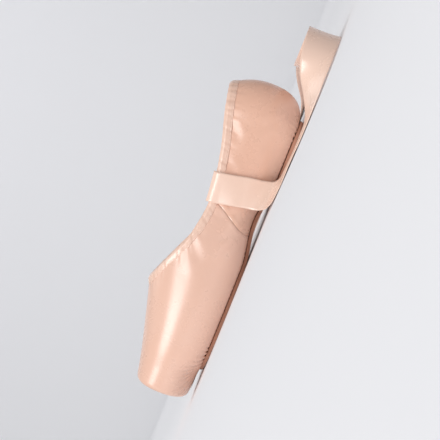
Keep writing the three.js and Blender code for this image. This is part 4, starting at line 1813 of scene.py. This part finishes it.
@dataclass
class Studio:
    """The plain stage, the soft lights and the camera.

    Sizes are in metres, the lens and its sensor in millimetres, and turns in degrees.
    """

    floor_reach: float = 4.0
    sweep_start: float = -2.4
    sweep_radius: float = 0.9
    wall_height: float = 3.0
    paint: Colour = tint(240, 240, 243)
    lamps: tuple[Lamp, ...] = (
        Lamp("key", (2.90, -1.25, 2.45), (3.70, 1.90), 119.0),
        Lamp("overhead", (-0.6, 0.0, 1.7), (1.2, 1.2), 5.0),
        Lamp("toe_side", (0.5, -1.6, 0.5), (0.9, 0.9), 1.8),
        Lamp("backdrop_wash", (-1.6, 0.0, 1.7), (1.6, 1.6), 9.0, (-3.3, 0.0, 0.5)),
    )
    air: Colour = (0.94, 0.95, 0.96, 1.0)
    world_light: float = 0.32
    world_seen: float = 0.72
    lens: float = 100.0
    sensor: float = 36.0
    shown: float = 0.322
    aim: Triple = (0.0, 0.012, 0.030)
    eye_height: float = 0.024
    towards_heel: float = 4.0
    roll: float = 68.0
    sees_to: float = 20.0

    def stage(self) -> None:
        """Lays the pale floor, which curves up into a backdrop."""
        bend = np.linspace(0, math.pi / 2, 25)
        bent_x = self.sweep_start - self.sweep_radius * np.sin(bend)
        x = np.concatenate([[self.floor_reach], bent_x, bent_x[-1:]])
        z = np.concatenate([[0.0], self.sweep_radius * (1 - np.cos(bend)), [self.wall_height]])
        sides = [np.full(len(x), y) for y in (self.floor_reach, -self.floor_reach)]
        net = np.stack([np.stack([x, y, z], axis=1) for y in sides])
        pad = Paint("stage_paint")
        paint = pad.close({"Base Color": self.paint, "Roughness": 0.9, "Specular IOR Level": 0.15})
        piece("stage_sweep", Net(net / MM).bmesh(), [paint])

    def lights(self) -> None:
        """Hangs the lights and sets the pale surroundings."""
        for lamp in self.lamps:
            lamp.hang()
        world = bpy.data.worlds.new("pale_room")
        world.use_nodes = True
        pad = NodePad(world.node_tree)
        direct = pad.add("LightPath").outputs["Is Camera Ray"]
        strength = pad.maths("MULTIPLY_ADD", direct, self.world_seen - self.world_light, self.world_light)
        background = pad.add("Background", {"Color": self.air, "Strength": strength})
        pad.plug(background.outputs[0], pad.add("OutputWorld").inputs[0])
        bpy.context.scene.world = world

    def camera(self) -> None:
        """Sets the camera just over the floor, square on to the inner side and rolled."""
        away = self.shown * self.lens / self.sensor
        turn = math.radians(self.towards_heel)
        eye = Vector((away * math.cos(turn), self.aim[1] + away * math.sin(turn), self.eye_height))
        sight = bpy.data.cameras.new("camera")
        sight.lens, sight.sensor_width, sight.clip_end = self.lens, self.sensor, self.sees_to
        seen = bpy.data.objects.new("camera", sight)
        facing = (Vector(self.aim) - eye).to_track_quat("-Z", "Y").to_matrix()
        rolled = facing @ Matrix.Rotation(-math.radians(self.roll), 3, "Z")
        seen.matrix_world = Matrix.Translation(eye) @ rolled.to_4x4()
        bpy.context.scene.collection.objects.link(seen)
        bpy.context.scene.camera = seen

    def build(self) -> None:
        """Sets up everything around the shoe."""
        self.camera()
        self.stage()
        self.lights()
        bpy.context.scene.view_settings.view_transform = "Standard"


def main() -> None:
    """Builds the shoe piece by piece."""
    logging.basicConfig(level=logging.INFO, format="%(name)s: %(message)s")
    Studio().build()
    SharedEffects().build_all()
    finish = {kind: kind.value.material() for kind in ShoeFinish}
    for ribbon in (
        Ribbon("ribbon_inner_satin", "ribbon_inner", 0.47, INNER_ROUTE),
        Ribbon("ribbon_outer_satin", "ribbon_outer", 0.46, OUTER_ROUTE),
    ):
        ribbon.build(finish[ShoeFinish.RIBBON])
        ribbon.build_stitches(finish[ShoeFinish.THREAD])
    low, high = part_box("upper")
    last = Last(length=round((high[1] - low[1]) / MM, 3))
    upper = Upper(last)
    upper.build(finish[ShoeFinish.SATIN], finish[ShoeFinish.LINING])
    binding = Binding(upper.skin)
    binding.build(finish[ShoeFinish.BINDING])
    binding.build_stitches(finish[ShoeFinish.THREAD])
    Outsole(last).build(finish[ShoeFinish.LEATHER])
    Insole(last).build(finish[ShoeFinish.SOCK])


if __name__ == "__main__":
    main()
